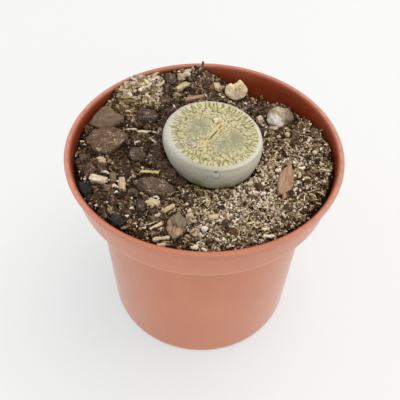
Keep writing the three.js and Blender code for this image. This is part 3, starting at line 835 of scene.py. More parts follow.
def plant_side(angles):
    """Points of the side, ring by ring down to the root, and what the material needs there."""
    finely, coarsely = np.arange(1, 62), np.arange(62, BODY_STEPS, 4)
    body = catmull_rom(BODY_RINGS, BODY_STEPS)[np.concatenate([finely, coarsely, [BODY_STEPS - 1]])]
    share, out = body[:, :1], body[:, 1:2]
    outline = face_outline(angles)
    radius = share * (FACE_RADIUS + (outline - FACE_RADIUS) * share) + out
    lean = smoothstep(-body[:, 2:], -55.25, -54.2)
    outward = np.stack(np.broadcast_arrays(np.cos(angles), np.sin(angles), 0 * radius), axis=-1)[:, :, :2]
    flat = PLANT_CENTRE + BODY_LEAN * lean[:, :, None] + radius[:, :, None] * outward
    level = np.repeat(body[:, 2], len(angles))
    points = np.column_stack([flat.reshape(-1, 2), level])
    swell = 0.07 * noise(points, 3.2, 31) + 0.02 * noise(points, 0.8, 32)
    marks = np.zeros(len(points))
    dent = np.zeros(len(points))
    for degrees, height, size, strength in SIDE_MARKS:
        turn = math.radians(degrees)
        reach = plant_reach(turn, height)
        spot = [PLANT_AXIS[0] + reach * math.cos(turn), PLANT_AXIS[1] + reach * math.sin(turn), height]
        far = np.linalg.norm(points - spot, axis=1)
        marks = np.maximum(marks, strength * (1 - smoothstep(far, size * 0.5, size * 1.7)))
        dent += 0.16 * strength * np.exp(-(far / (size * 1.2)) ** 2)
    far = np.linalg.norm(points - RING_MARK, axis=1)
    halo = np.exp(-((far - RING_MARK_RADIUS) / 0.16) ** 2) * smoothstep(53.9 - level, 0, 0.5)
    dent += 0.06 * np.exp(-((far - RING_MARK_RADIUS) / 0.2) ** 2) - 0.05 * np.exp(-(far / 0.6) ** 2)
    fade_in = smoothstep(-level, -55.2, -54.6)
    points[:, :2] += outward.reshape(-1, 2) * ((swell - dent) * fade_in)[:, None]

    x, y, _ = points.T
    angle = np.tile(angles, len(body))
    over_edge = np.where(level > 54.2, (radius / outline).ravel(), 1.3)
    dashes = margin_dashes(angle, over_edge)
    contact = level - soil_base(x, y) + moat(x, y)
    moss = 1 - smoothstep(contact + 0.9 * noise(points, 0.9, 33), 0.1, 1.5)
    green_spots = bumps(x, level, (1, -1.4, 49.5, 0.75), (1, 5.3, 48.8, 0.7))
    green_spots *= 1 + 0.6 * noise(points, 0.5, 35)
    # Painted light towards the right, painted shade at the shoulder and towards the mix
    values = {
        "painted_sun": painted_sunlight(angle),
        "channel": 0.8 * dashes,
        "side": side_share(over_edge, angle) * (1 - 0.7 * dashes),
        "shoulder_shade": smoothstep(level, 53.2, 54.9),
        "foot_shade": 0.85 * (1 - smoothstep(contact + 0.6 * noise(points, 1.6, 34), 0.3, 3.6)),
        "moss": np.clip(0.6 * moss + 1.1 * green_spots * (y < 0), 0, 0.95),
        "mark": np.clip(np.maximum(marks, 0.5 * halo), 0, 1),
    }
    return points, values


def make_plant(material):
    angles = circle(PLANT_SEGMENTS)
    face, on_face = plant_face(angles)
    side, on_side = plant_side(angles)
    middles = [[*PLANT_CENTRE, FACE_TOP - 0.2], [*PLANT_AXIS, ROOT_TIP]]
    at_middles = {"painted_sun": [1, 1], "side": [0, 1]}
    rings = (len(face) + len(side)) // PLANT_SEGMENTS
    mesh = new_mesh("lithops_body", np.vstack([face, side, middles]),
                    *tube_faces(rings, PLANT_SEGMENTS, inward=True))
    for name in on_face | on_side:
        parts = [on_face.get(name, np.zeros(len(face))), on_side.get(name, np.zeros(len(side)))]
        set_values(mesh, name, np.concatenate(parts + [at_middles.get(name, [0, 0])]))
    add_piece("lithops_body", mesh, material, "plant", ["lithops"])


# The potting mix


def paleness(x, y):
    """Where the mix shows pale grit: from 0 at the left to 1 at the front right."""
    return np.clip(bumps(x, y, (1, 12, -11, 8.5), (0.8, 3, -21, 7.5), (0.55, 22, -2, 8), (0.45, -18, 21, 5.5),
                         (0.6, 6, 25, 9), (0.25, -14, -10, 9), (0.3, 23, 9, 6)), 0, 1)


def coarseness(x, y):
    """Where the mix is made of bark crumbs: mostly at the left and at the back."""
    return np.clip(smoothstep(-x + 0.25 * y, -3, 12) + 0.45 * bump(x, y, 4, 26, 9), 0, 1)


def heap_density(x, y):
    """Where the heap of pale chips lies, at the back left."""
    return np.clip(bumps(x, y, (1, -17.5, 21.5, 4.6), (0.8, -19.5, 14.5, 2.3)), 0, 1)


def clod_density(x, y):
    """Clods lie at the left and at the back right, not on the heap."""
    clods = 0.08 + 0.6 * coarseness(x, y) + 0.7 * bump(x, y, 17, 18, 8)
    return np.clip(clods * (1 - heap_density(x, y)) ** 2, 0, 1)


def make_bed(material):
    """The bed of the mix: its rings run up the plant's socket, out over the mix and down the pot's wall."""
    around, steps = 480, 92
    angles = circle(around)
    away = np.column_stack([np.cos(angles), np.sin(angles)])

    def ring(reach, height=None):
        place = PLANT_AXIS + away * reach[:, None]
        return np.column_stack([place, soil_height(*place.T) if height is None else np.full(around, height)])

    inner_reach = plant_reach(angles, CONTACT_LEVEL) + 0.08
    outer_reach = np.full(around, 25.0)
    for _ in range(12):
        x, y = (PLANT_AXIS + away * outer_reach[:, None]).T
        outer_reach += wall_inside(soil_base(x, y)) - 0.25 - np.hypot(x, y)

    rings = [ring(plant_reach(angles, level) + 0.25, level) for level in (20, 30, 34, 39.5, 45.6, 47.2)]
    socket_rings = len(rings)
    rings += [ring(inner_reach + (outer_reach - inner_reach) * share) for share in np.linspace(0, 1, steps)]
    rings[socket_rings][:, 2] = np.minimum(rings[socket_rings][:, 2], 49.4)
    top_rings = len(rings)
    end = rings[-1]
    heading = end[:, :2] / np.hypot(end[:, 0], end[:, 1])[:, None]
    for level, drop in ((45.2, 0.2), (44.9, 0.4), (43.9, 0.6), (20, 0), (3.7, 0), (WALL_FOOT, 0)):
        height = np.minimum(level, end[:, 2] - drop)
        rings.append(np.column_stack([heading * (wall_inside(height) - 0.3)[:, None], height]))
    points = np.vstack(rings + [[[*PLANT_AXIS, ROOT_TIP - 0.3], [0, 0, WALL_FOOT]]])
    mesh = new_mesh("soil_bed", points, *tube_faces(len(rings), around, inward=True))

    x, y, height = points.T
    # Tone: painted shade darkens the low spots between clods and the gap at the wall; paleness and the heap
    # are the mix's own colour. The socket and the sides down the wall get a fixed dark tone
    lift = height - soil_base(x, y) - 0.34 * flat_noise(x, y, 2.6, 11)
    tone = 0.06 + 0.26 * lift + 0.1 * paleness(x, y) - 0.15 * wall_gap(x, y) + 0.28 * heap_density(x, y)
    tone[:socket_rings * around] = 0.1
    tone[top_rings * around:] = 0.12
    set_values(mesh, "tone", tone)
    add_piece("soil_bed", mesh, material, "soil", ["soil"])


def round_shape(divisions, random, count, roughness):
    """Variants of a jittered ball of radius 0.5 with the same faces: points by variant, and triangles."""
    mesh = bpy.data.meshes.new("ball")
    ball = bmesh.new()
    bmesh.ops.create_icosphere(ball, subdivisions=divisions, radius=0.5)
    ball.to_mesh(mesh)
    ball.free()
    base = np.array([vertex.co for vertex in mesh.vertices])
    faces = np.array([face.vertices for face in mesh.polygons])
    bpy.data.meshes.remove(mesh)
    shapes = []
    for variant in range(count):
        jitter = 1 + roughness * random.normal(size=(len(base), 1))
        lumps = 1 + 0.35 * noise(base + 3 * variant, 0.5, 61)[:, None]
        shapes.append(base * np.clip(jitter * lumps, 0.5, 1.5))
    return np.array(shapes), faces


def splinter_shape(random, count, bent=0.22, sides=5, rings=5):
    """Variants of a ragged stick along x, 1 long, 1 wide and 1 high: points by variant, and triangles."""
    quads, *caps = tube_faces(rings, sides)
    triangles = np.vstack([quads[:, [0, 1, 2]], quads[:, [0, 2, 3]], *caps])
    turn = (np.arange(sides) + 0.5) / sides * TURN
    across, upward = (np.sign(part) * np.abs(part) ** 0.6 for part in (np.cos(turn), np.sin(turn)))
    shapes = []
    for _ in range(count):
        bend = random.uniform(-bent, bent)
        points = []
        ragged = {0: 0.12 * random.uniform(-1, 1, sides), rings - 1: 0.12 * random.uniform(-1, 1, sides)}
        for ring, along in enumerate(np.linspace(-0.5, 0.5, rings)):
            full = 0.46 * (1 - 0.25 * abs(2 * along) ** 3) * random.uniform(0.82, 1.1)
            full *= 0.82 if ring in ragged else 1
            wobble = 1 + 0.14 * random.normal(size=sides)
            sideways = full * across * wobble + bend * (1 - 8 * along ** 2)
            lengthways = along + ragged.get(ring, np.zeros(sides))
            points.append(np.column_stack([lengthways, sideways, full * upward * wobble]))
        points.append([[-0.47, -bend, 0], [0.47, -bend, 0]])
        shapes.append(np.vstack(points))
    return np.array(shapes), triangles


def turns(yaw, tilt, roll):
    """Rotation matrices from arrays of angles: roll about x, then tilt about y, then yaw about z."""
    cos_y, sin_y = np.cos(yaw), np.sin(yaw)
    cos_t, sin_t = np.cos(tilt), np.sin(tilt)
    cos_r, sin_r = np.cos(roll), np.sin(roll)
    rows = [
        [cos_y * cos_t, cos_y * sin_t * sin_r - sin_y * cos_r, cos_y * sin_t * cos_r + sin_y * sin_r],
        [sin_y * cos_t, sin_y * sin_t * sin_r + cos_y * cos_r, sin_y * sin_t * cos_r - cos_y * sin_r],
        [-sin_t, cos_t * sin_r, cos_t * cos_r],
    ]
    return np.moveaxis(np.array(rows), 2, 0)


def lying(count, random, tilt):
    """Rotations in any direction, with a small tilt, or wholly random ones where no tilt is given."""
    if tilt is None:
        return turns(*random.uniform(0, TURN, (3, count)))
    yaw = random.uniform(0, TURN, count)
    return turns(yaw, random.normal(0, tilt, count), random.normal(0, tilt, count))


def make_grains(name, shape, places, lift, sizes, rotations, tones, hues, material, slot, flat=True):
    """One piece of many grains: sizes holds each grain's length, width and height."""
    shapes, triangles = shape
    variant = np.random.default_rng(len(places)).integers(0, len(shapes), len(places))
    local = shapes[variant] * sizes[:, None, :]
    centres = np.column_stack([places, soil_height(*places.T) + lift])
    points = np.einsum("nij,nvj->nvi", rotations, local) + centres[:, None, :]
    each = shapes.shape[1]
    offsets = np.arange(len(places))[:, None, None] * each
    mesh = new_mesh(name, points.reshape(-1, 3), (triangles[None, :, :] + offsets).reshape(-1, 3))
    set_values(mesh, "tone", np.repeat(np.clip(tones, 0, 1), each))
    set_values(mesh, "hue", np.repeat(np.clip(hues, 0, 1), each))
    set_values(mesh, "grain", local.reshape(-1, 3) + 7.3 * np.repeat(tones, each)[:, None])
    add_piece(name, mesh, material, slot, flat=flat)


MIX_REACH = 30
TRIES_AT_ONCE = 6000


def spread(count, seed, density, clear, margin):
    """As many random places on the mix as count: more where density is high, none where clear is false."""
    random = np.random.default_rng(seed)
    kept = np.zeros((0, 2))
    while len(kept) < count:
        tries = random.uniform(-MIX_REACH, MIX_REACH, (TRIES_AT_ONCE, 2))
        x, y = tries.T
        good = np.hypot(x, y) < wall_inside(soil_base(x, y)) - 0.35 - margin
        good &= random.uniform(0, 1, len(tries)) < density(x, y) * (1 - 0.75 * wall_gap(x, y))
        tries = tries[good]
        kept = np.vstack([kept, tries[clear(tries, margin)]])
    return kept[:count], random


def clear_of(names):
    """A test of places for grains: true where they keep clear of the plant and of the pieces named."""
    prints = []
    for name in names:
        points = vectors_of(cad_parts[name].data.vertices, "co")[:, :2] / MM
        middle = (points.min(axis=0) + points.max(axis=0)) / 2
        _, axes = np.linalg.eigh(np.cov((points - middle).T))
        prints.append((middle, axes, np.abs((points - middle) @ axes).max(axis=0)))

    def clear(places, margin):
        free = from_plant(*places.T, CLEAR_LEVEL)[0] > 0.25 * margin
        for middle, axes, half in prints:
            inside = (places - middle) @ axes / (half + 0.8 * margin)
            free &= (inside ** 4).sum(axis=1) > 1
        return free
    return clear


# Small bits that stand out: x, y, length, width, height, lift over the mix, turn in degrees, tone, hue
SMALL_BITS = [
    (-19.8, -11.1, 1.5, 1.2, 0.8, 0.5, 20, 0.84, 0.35), (-22.4, -7.3, 2.1, 0.7, 0.5, 0.5, -14, 0.88, 0.6),
    (-11.5, -15.5, 2.7, 0.8, 0.5, 0.5, -22, 0.78, 0.8), (-10.9, -12.4, 1.8, 0.8, 0.4, 0.6, -8, 1, 0.5),
    (-8, -27.9, 1.8, 1.4, 0.9, 0.5, 30, 0.72, 0.25), (14, -24.7, 2.1, 0.8, 0.5, 0.5, -3, 0.95, 0.62),
    (9.7, -18.7, 2, 0.4, 0.3, 0.5, 60, 0.78, 0.74), (10.3, -21, 1.9, 0.5, 0.4, 0.5, 25, 0.8, 0.74),
    (11.2, -21.9, 1.5, 0.5, 0.4, 0.5, -20, 0.86, 0.68), (10.6, -19.9, 1.6, 0.4, 0.3, 0.6, -70, 0.72, 0.74),
    (13.5, -22.9, 1.7, 0.8, 0.5, 0.5, 5, 0.9, 0.68), (17.4, -3.5, 1.4, 1, 0.8, 0.5, 40, 1, 0.3),
    (22.8, -3.5, 1.6, 0.8, 0.5, 0.5, 10, 1, 0.34), (21.8, -6.6, 1.8, 0.7, 0.5, 0.5, 75, 0.76, 0.78),
    (23.3, -7.4, 1.6, 0.7, 0.5, 0.5, -10, 0.8, 0.72), (26.8, -3.4, 1.7, 0.8, 0.5, 0.5, 30, 0.78, 0.85),
    (12.2, -7, 2.8, 0.4, 0.35, 0.7, -65, 0.82, 0.55), (10.7, -7.1, 1.4, 0.9, 0.6, 0.5, 25, 0.88, 0.72),
    (5.2, -13.5, 2.9, 0.4, 0.35, 0.5, -35, 0.62, 0.4), (-12.7, 5.9, 2.7, 0.6, 0.4, 0.6, -35, 0.86, 0.4),
    (-16.3, 4, 1.6, 0.8, 0.5, 0.6, 35, 0.84, 0.62), (-25.2, -15.2, 1.5, 0.9, 0.6, 0.5, 60, 0.56, 0.05),
    (-21, -20.5, 1.3, 1, 0.7, 0.5, 10, 0.54, 0.1), (-19.2, -13.3, 0.9, 0.6, 0.5, 0.5, 40, 0.95, 0.45),
    (-18, -13.9, 2, 1.6, 1.1, 0.3, 0, 0.1, 0.4), (-15.9, -20.5, 0.8, 0.6, 0.5, 0.5, 15, 0.97, 0.5),
    (-15.9, -23.5, 1.8, 1.2, 0.8, 0.4, 20, 0.56, 0.15), (-2.7, -19, 1.7, 1.4, 0.9, 0.5, 0, 0.7, 0.35),
    (-1.1, -28.5, 1.7, 1.2, 0.8, 0.5, 20, 0.93, 0.62), (0.7, -29.3, 1.1, 0.8, 0.6, 0.5, -20, 0.88, 0.6),
    (-15.2, -18.3, 1.8, 0.5, 0.4, 0.5, 70, 0.78, 0.5), (-28.6, 1.2, 1.1, 0.5, 0.4, 0.4, -30, 0.86, 0.4),
    (-19.8, -15.3, 0.8, 0.6, 0.5, 0.5, 0, 0.86, 0.5), (-10.8, -22.3, 3.2, 0.3, 0.25, 0.6, 33, 0.7, 0.6),
    (13.5, -11, 1, 0.8, 0.6, 0.5, 0, 1, 0.5), (27.6, -5.7, 2.3, 0.35, 0.3, 0.6, -12, 0.84, 0.6),
    (22.2, -2.2, 1.6, 0.4, 0.3, 0.6, 60, 0.78, 0.7), (17.2, 11.5, 2.1, 1.3, 0.9, 0.5, 5, 0.72, 0.35),
    (14.3, 12.8, 3, 0.7, 0.5, 0.6, 70, 0.84, 0.55), (7, 22.4, 0.8, 0.6, 0.5, 0.6, 0, 0.66, 0),
    (6.2, 22.5, 1.4, 0.9, 0.7, 0.5, 40, 0.74, 0.72), (26.1, 1.1, 1.6, 1.1, 0.8, 0.5, 50, 0.78, 0.42),
    (-23.2, -16.6, 1.4, 1.1, 0.8, 0.4, 10, 0.24, 0.9), (-22.1, -17.6, 1.2, 1, 0.7, 0.4, 50, 0.2, 0.88),
    (-24.2, -17.2, 0.7, 0.5, 0.4, 0.7, 0, 0.95, 0.6), (-22.7, -18.4, 0.6, 0.5, 0.4, 0.7, 0, 0.92, 0.9),
    (-26, 9.5, 1.8, 0.5, 0.4, 0.4, 50, 0.6, 0.7), (-9.6, -19.4, 1.3, 0.9, 0.6, 0.5, 20, 0.74, 0.5),
    (-5, 28.6, 1.8, 1.3, 1, 0.7, 20, 0.76, 0.3), (-3.4, 29.2, 1.6, 1.2, 1, 0.6, 70, 0.62, 0.5),
    (-6.6, 28.9, 1.5, 1.2, 0.9, 0.5, 0, 0.5, 0.45), (-1.9, 29.4, 1.5, 1, 0.8, 0.5, 30, 0.7, 0.4),
    (-13.4, 25.3, 3, 1, 0.5, 0.7, 60, 0.7, 0.68), (-16, 21, 3.2, 1.1, 0.5, 0.7, 40, 0.72, 0.66),
    (-11.6, 22.8, 3.8, 1, 0.5, 0.8, 70, 0.76, 0.62), (-14.9, 20.8, 2.6, 1.2, 0.6, 0.8, 50, 0.84, 0.52),
    (-17, 23.5, 3.4, 0.9, 0.5, 0.9, -25, 0.7, 0.62), (-20.4, 16.6, 3.8, 1, 0.5, 0.7, -8, 0.62, 0.74),
    (14.6, 25.2, 1, 0.7, 1.7, 1.4, 60, 0.5, 0), (-20.4, -9.4, 2.4, 0.8, 0.5, 0.6, -6, 0.84, 0.7),
    (-18.1, 8.15, 2.8, 0.7, 0.45, 0.8, -4, 0.82, 0.6), (-12.9, 8.2, 1.9, 0.6, 0.4, 0.7, -6, 0.8, 0.6),
    (14.9, 9.6, 3.2, 0.6, 0.5, 1, 80, 0.8, 0.55), (13.4, -3.9, 2.6, 0.35, 0.3, 0.7, -58, 0.84, 0.6),
    (-20.5, 18, 3.4, 1, 0.5, 0.7, -12, 0.66, 0.7), (-15, 18.4, 2.4, 0.9, 0.5, 0.7, 75, 0.8, 0.6),
    (-20.2, 21.2, 2.2, 1.2, 0.6, 0.6, 55, 0.7, 0.55), (-16.9, 23.6, 2, 1.2, 0.8, 0.7, 10, 0.66, 0.45),
]


# Share of the crumbs that are much paler than the others
PALE_CRUMBS = 0.19


def make_crumbs(clear, looks):
    random = np.random.default_rng(71)
    balls = round_shape(2, random, 14, 0.15)
    small = round_shape(1, random, 14, 0.13)
    clods = round_shape(3, random, 10, 0.03)
    sticks = splinter_shape(random, 14)

    # Shape and form; piece, look and slot; count, seed and margin; least size, how much more and its power;
    # unevenness; tone; hue; lift; tilt; density; and what is added to the tones
    lumps = [
        (balls, 1, ("bark_crumbs", "bark_crumbs", "bark"), (680, 72, 0.6), (0.8, 1.6, 2.6), (0.5, 1.1),
         (0.3, 0.2), (0.36, 0.2), (0.1, 0), None,
         lambda x, y: coarseness(x, y) * (1 - 0.8 * heap_density(x, y)),
         lambda x, y: 0.12 * bump(x, y, -1, 27, 7)),
        (clods, 1, ("mix_clods", "bark_crumbs", "soil"), (170, 78, 1.6), (1.4, 1.9, 1.5), (0.7, 1.1),
         (0.33, 0.1), (0.34, 0.14), (-0.05, 0), None,
         clod_density,
         lambda x, y: 0.1 * bump(x, y, 20, 14, 8)),
        (small, [1.35, 1, 0.7], ("mix_crumbs", "mix_grains", "soil"), (6600, 73, 0.25), (0.34, 0.72, 2),
         (0.5, 1.2), (0.23, 0.16), (0.45, 0.22), (0.16, 0), 0.7,
         lambda x, y: 0.35 + 0.65 * coarseness(x, y),
         # The crumbs' tones drop in the gap at the wall: painted shade
         lambda x, y: 0.12 * paleness(x, y) + 0.14 * heap_density(x, y) - 0.05 * coarseness(x, y)
         - 0.15 * wall_gap(x, y) + bumps(x, y, (0.2, 21, 11, 9), (0.16, -1, 27, 7))),
        (small, [1.4, 1, 0.75], ("mix_grit", "mix_grains", "stone"), (8600, 74, 0.2), (0.22, 0.6, 2.2),
         (0.45, 1.3), (0.61, 0.25), (0.46, 0.15), (0.25, 0.05), 0.7,
         lambda x, y: 0.05 + 0.95 * paleness(x, y),
         lambda x, y: 0.22 * (flat_noise(x, y, 1.6, 45) + 0.8 * flat_noise(x, y, 3.6, 46))
         + 0.2 * bump(x, y, 14, -13, 6) - 0.24 * (1 - paleness(x, y))),
    ]
    for shape, form, names, amount, growth, uneven, tone, hue, lift, tilt, density, paler in lumps:
        name, look, slot = names
        count, seed, margin = amount
        least, more, power = growth
        places, random = spread(count, seed, density, clear, margin)
        size = least + more * random.uniform(0, 1, count) ** power
        sizes = size[:, None] * random.uniform(*uneven, (count, 3)) * form
        tones = random.normal(*tone, count) + paler(*places.T)
        if name == "mix_crumbs":
            tones += np.where(random.uniform(0, 1, count) < PALE_CRUMBS, 0.32, 0)
        hues = random.normal(*hue, count)
        make_grains(name, shape, places, lift[0] * size + lift[1], sizes, lying(count, random, tilt), tones,
                    hues, looks[look], slot, flat=name != "mix_clods")

    count = 900
    places, random = spread(count, 75, lambda x, y: 0.35 + 0.5 * paleness(x, y), clear, 0.35)
    size = 0.7 + 1.5 * random.uniform(0, 1, count) ** 1.9
    thin = 0.12 + 0.17 * random.uniform(0, 1, count)
    sizes = np.column_stack([size, thin * random.uniform(1, 2, count), thin])
    tones = random.normal(0.5, 0.2, count) + 0.12 * paleness(*places.T)
    hues = random.normal(0.5, 0.18, count)
    make_grains("mix_fibres", sticks, places, 0.22, sizes, lying(count, random, 0.35), tones, hues,
                looks["mix_straw"], "straw")

    count = 560
    places, random = spread(count, 76, heap_density, clear, 1.4)
    size = 1 + 2.2 * random.uniform(0, 1, count) ** 2
    wide = size * random.uniform(0.24, 0.5, count)
    thin = size * random.uniform(0.18, 0.36, count)
    # Painted shade: the chips darker at the heap's front left
    tones = random.normal(0.66, 0.2, count) - 0.1 * bump(*places.T, -20.5, 17.5, 3.5)
    hues = random.normal(0.6, 0.16, count)
    make_grains("heap_chips", sticks, places, 0.4 * thin, np.column_stack([size, wide, thin]),
                lying(count, random, 0.3), tones, hues, looks["mix_bits"], "straw")

    bits = np.array(SMALL_BITS)
    random = np.random.default_rng(77)
    tilt, roll = (random.normal(0, most, len(bits)) for most in (0.16, 0.2))
    make_grains("mix_bits", sticks, bits[:, :2], bits[:, 5], bits[:, 2:5],
                turns(np.radians(bits[:, 6]), tilt, roll), bits[:, 7], bits[:, 8], looks["mix_bits"], "straw")


# Loose pieces on the mix. Each dress_ function gives the relief of a surface from its points, the same points
# from the piece's middle along its own axes, the normals and a seed


def noises(local, seed, *rows):
    """A sum of noises, each given by its depth, size, step of the seed and stretch along the piece."""
    return sum(depth * noise(local * [along, 1, 1], size, seed + step) for depth, size, step, along in rows)


def worn_by(local):
    return np.clip(np.abs(local) / np.abs(local).max(axis=0), 0, 1)


def dress_bark(points, local, normals, seed):
    layers = noise(local * [0.5, 0.5, 1.6], 0.8, seed + 3)
    relief = noises(local, seed, (0.26, 1.7, 0, 1), (0.2, 0.55, 1, 0.3), (0.08, 0.4, 2, 1))
    return relief + 0.1 * np.sign(layers) * np.minimum(1, np.abs(layers) * 4) - 0.06


def dress_slab(points, local, normals, seed):
    return 0.24 + noises(local, seed, (0.16, 2.4, 0, 1), (0.1, 0.7, 1, 1), (0.05, 0.35, 0, 1))


def dress_grey_slab(points, local, normals, seed):
    """The grey slab, whose back edge rises to a corner left of its middle."""
    from_middle = points[:, 0] - points[:, 0].mean()
    corner = 1.3 * np.exp(-((from_middle + 0.6) / 1.3) ** 2) - 0.45 * smoothstep(from_middle, 0.5, 3)
    return np.clip(normals[:, 1], 0, 1) * corner + dress_slab(points, local, normals, seed)


def dress_wide_slab(points, local, normals, seed):
    """The brown slab, which reaches further to the left and to the back right than its solid."""
    left = 0.9 * np.clip(-normals[:, 0], 0, 1)
    back_right = 0.5 * np.clip(0.6 * normals[:, 0] + 0.8 * normals[:, 1], 0, 1)
    return left + back_right + dress_slab(points, local, normals, seed)


def dress_fold(points, local, normals, seed):
    """A plate that is bent down along a line across it, with a notch in one of its halves."""
    crease = -0.5 * np.exp(-((local[:, 0] + 0.25) / 0.32) ** 2) * (normals[:, 2] > 0)
    notch = -0.4 * np.exp(-((local[:, 0] + 2) / 0.3) ** 2) * (local[:, 1] > 0)
    return crease + notch + noises(local, seed, (0.1, 0.4, 1, 0.2), (0.06, 0.5, 2, 1))


def dress_wood(points, local, normals, seed):
    return noises(local, seed, (0.09, 0.34, 0, 0.08), (0.05, 0.8, 1, 1))


def dress_chip(points, local, normals, seed):
    """A split chip with uneven faces and worn corners."""
    corners = smoothstep((worn_by(local) ** 3).sum(axis=1), 1, 2.2)
    fibres = noises(local, seed, (0.1, 0.4, 0, 0.1), (0.24, 1.3, 1, 1), (0.08, 0.6, 2, 1))
    return fibres - 0.3 * corners - 0.04


def dress_straw(points, local, normals, seed):
    """A thin stalk, frayed towards its ends."""
    ends = smoothstep(np.abs(local[:, 0]) / np.abs(local[:, 0]).max(), 0.55, 1)
    uneven = 0.168 * noise(local * [0.5, 0.2, 0.2], 0.7, seed + 1)
    return noises(local, seed, (0.06, 0.3, 0, 0.08)) + uneven - 0.08 - 0.14 * ends


def dress_block(points, local, normals, seed):
    """A broken block with a horn and a notch in its top and a point at its left."""
    from_left = points[:, 0] - points[:, 0].min()
    top = 0.9 * np.exp(-((from_left - 3.4) / 0.55) ** 2) - 0.7 * np.exp(-((from_left - 1.8) / 0.45) ** 2)
    point = 0.6 * np.clip(-normals[:, 0], 0, 1) * np.exp(-((points[:, 2] - points[:, 2].mean()) / 0.9) ** 2)
    facets = noises(local, seed, (0.22, 1.5, 0, 1), (0.05, 0.5, 1, 1))
    return np.clip(normals[:, 2], 0, 1) * top + point + facets


def dress_flake(points, local, normals, seed):
    """A charred flake, broken at its edges."""
    corners = 0.9 * smoothstep((worn_by(local)[:, :2] ** 4).sum(axis=1), 0.6, 1.6)
    broken = noises(local, seed, (0.5, 1.5, 0, 1), (0.3, 0.7, 1, 1)) - corners
    return broken + 0.1 * noise(local * [1, 0.2, 1], 0.3, seed + 2) - 0.12


def dress_stone(points, local, normals, seed):
    return noises(local, seed, (0.16, 1.3, 0, 1), (0.05, 0.5, 1, 1))


def dress_rock(points, local, normals, seed):
    return 0.2 + noises(local, seed, (0.3, 1.1, 0, 1), (0.14, 0.45, 1, 1))


def dress_leaf(points, local, normals, seed):
    ribs = 0.1 * np.cos(local[:, 1] * 5.2 + 0.5 * noise(local, 2, seed))
    ribs += 0.4 * np.abs(normals[:, 0]) * (0.6 + 0.8 * noise(local, 1.2, seed + 3))
    return ribs + noises(local, seed, (0.09, 0.4, 1, 0.2), (0.05, 0.5, 2, 1))


# Each loose piece: node, look, slot, dress, width of its faces, and how ragged its ends are
LOOSE = [
    ("bark_grey_slab", "bark_grey", "bark", dress_grey_slab, 0.2, 0.2),
    ("bark_brown_slab", "bark_brown", "bark", dress_wide_slab, 0.2, 0.1),
    ("bark_dark_ridge", "bark_dark", "bark_dark", dress_bark, 0.18, 0.4),
    ("bark_dark_back", "bark_dark", "bark_dark", dress_bark, 0.18, 0),
    ("bark_knob", "bark_dark", "bark_dark", dress_bark, 0.18, 0),
    ("bark_rough_slab", "bark_dusty", "bark", dress_bark, 0.2, 0.3),
    ("bark_round", "bark_dark", "bark_dark", dress_bark, 0.16, 0),
    ("bark_black_flake", "bark_black", "bark_dark", dress_flake, 0.16, 0.7),
    ("bark_round_front", "bark_dark", "bark_dark", dress_bark, 0.16, 0),
    ("bark_black_front", "bark_black", "bark_dark", dress_flake, 0.16, 0.7),
    ("wood_chip_tan", "wood_fresh", "wood", dress_chip, 0.14, 0.35),
    ("wood_chip_left", "wood_blond", "wood", dress_chip, 0.14, 0.45),
    ("wood_chip_upright", "wood_fresh", "wood", dress_chip, 0.14, 0.4),
    ("wood_chip_olive", "wood_olive", "wood", dress_chip, 0.14, 0.35),
    ("wood_chip_cream", "straw_wood", "straw", dress_wood, 0.12, 0.3),
    ("wood_chip_front", "straw_dull", "wood", dress_chip, 0.13, 0.4),
    ("wood_block_pale", "wood_cream", "straw", dress_block, 0.16, 0),
    ("wood_chip_orange", "wood_fresh", "wood", dress_chip, 0.14, 0.3),
    ("straw_left", "straw_wood", "straw", dress_straw, 0.12, 0.3),
    ("straw_yellow", "straw_gold", "straw", dress_straw, 0.12, 0.4),
    ("straw_diagonal", "straw_dull", "straw", dress_straw, 0.12, 0.6),
    ("straw_front_upper", "straw_wood", "straw", dress_straw, 0.11, 0.3),
    ("straw_front_lower", "straw_wood", "straw", dress_straw, 0.11, 0.3),
    ("straw_back", "wood_rosy", "wood", dress_wood, 0.12, 0.5),
    ("chip_yellow_back", "straw_dull", "wood", dress_chip, 0.13, 0.4),
    ("flake_leaf", "dry_leaf", "dry_leaf", dress_leaf, 0.15, 1),
    ("flake_folded", "flake_folded", "bark", dress_fold, 0.15, 0.4),
    ("stone_mottled", "stone_mottled", "stone", dress_rock, 0.16, 0),
    ("stone_white", "stone_white", "stone", dress_stone, 0.14, 0),
    ("stone_yellow_left", "stone_yellow", "stone", dress_stone, 0.14, 0),
    ("stone_yellow_right", "stone_yellow", "stone", dress_stone, 0.14, 0),
    ("shard_pale", "straw_wood", "straw", dress_wood, 0.13, 0.3),
    ("grit_back", "stone_pale", "stone", dress_stone, 0.14, 0),
    ("stem_back", "bark_dark", "bark_dark", dress_wood, 0.12, 0),
]
# Straws that lie half hidden in the mix: how much longer they are made, as a share of their length
LENGTHENED = {"straw_left": 0.5, "straw_yellow": 0.1, "straw_front_lower": 0.1}
# Seeds of the loose pieces: that of the first one, and the step from each to the next
FIRST_SEED, SEED_STEP = 50, 7
# How far the right half of the brown slab turns back and up, for each millimetre from its middle
SLAB_TURN = [0.32, 0.1]


def finer(node, voxel):
    """The CAD node's mesh again, with many small faces and softened edges, in millimetres."""
    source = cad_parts[node].data
    source.calc_loop_triangles()
    faces = np.array([triangle.vertices for triangle in source.loop_triangles])
    points = np.round(vectors_of(source.vertices, "co") / MM, 5)
    unique, index = np.unique(points, axis=0, return_inverse=True)
    raw = bpy.data.meshes.new("raw")
    raw.from_pydata(unique.tolist(), [], index.reshape(-1)[faces].tolist())
    carrier = new_object("raw", raw)
    remesh = carrier.modifiers.new("fine", "REMESH")
    remesh.mode = "VOXEL"
    remesh.voxel_size = voxel
    soft = carrier.modifiers.new("soft", "SMOOTH")
    soft.factor = 0.5
    soft.iterations = 4
    mesh = evaluated_mesh(carrier)
    bpy.data.objects.remove(carrier)
    return mesh


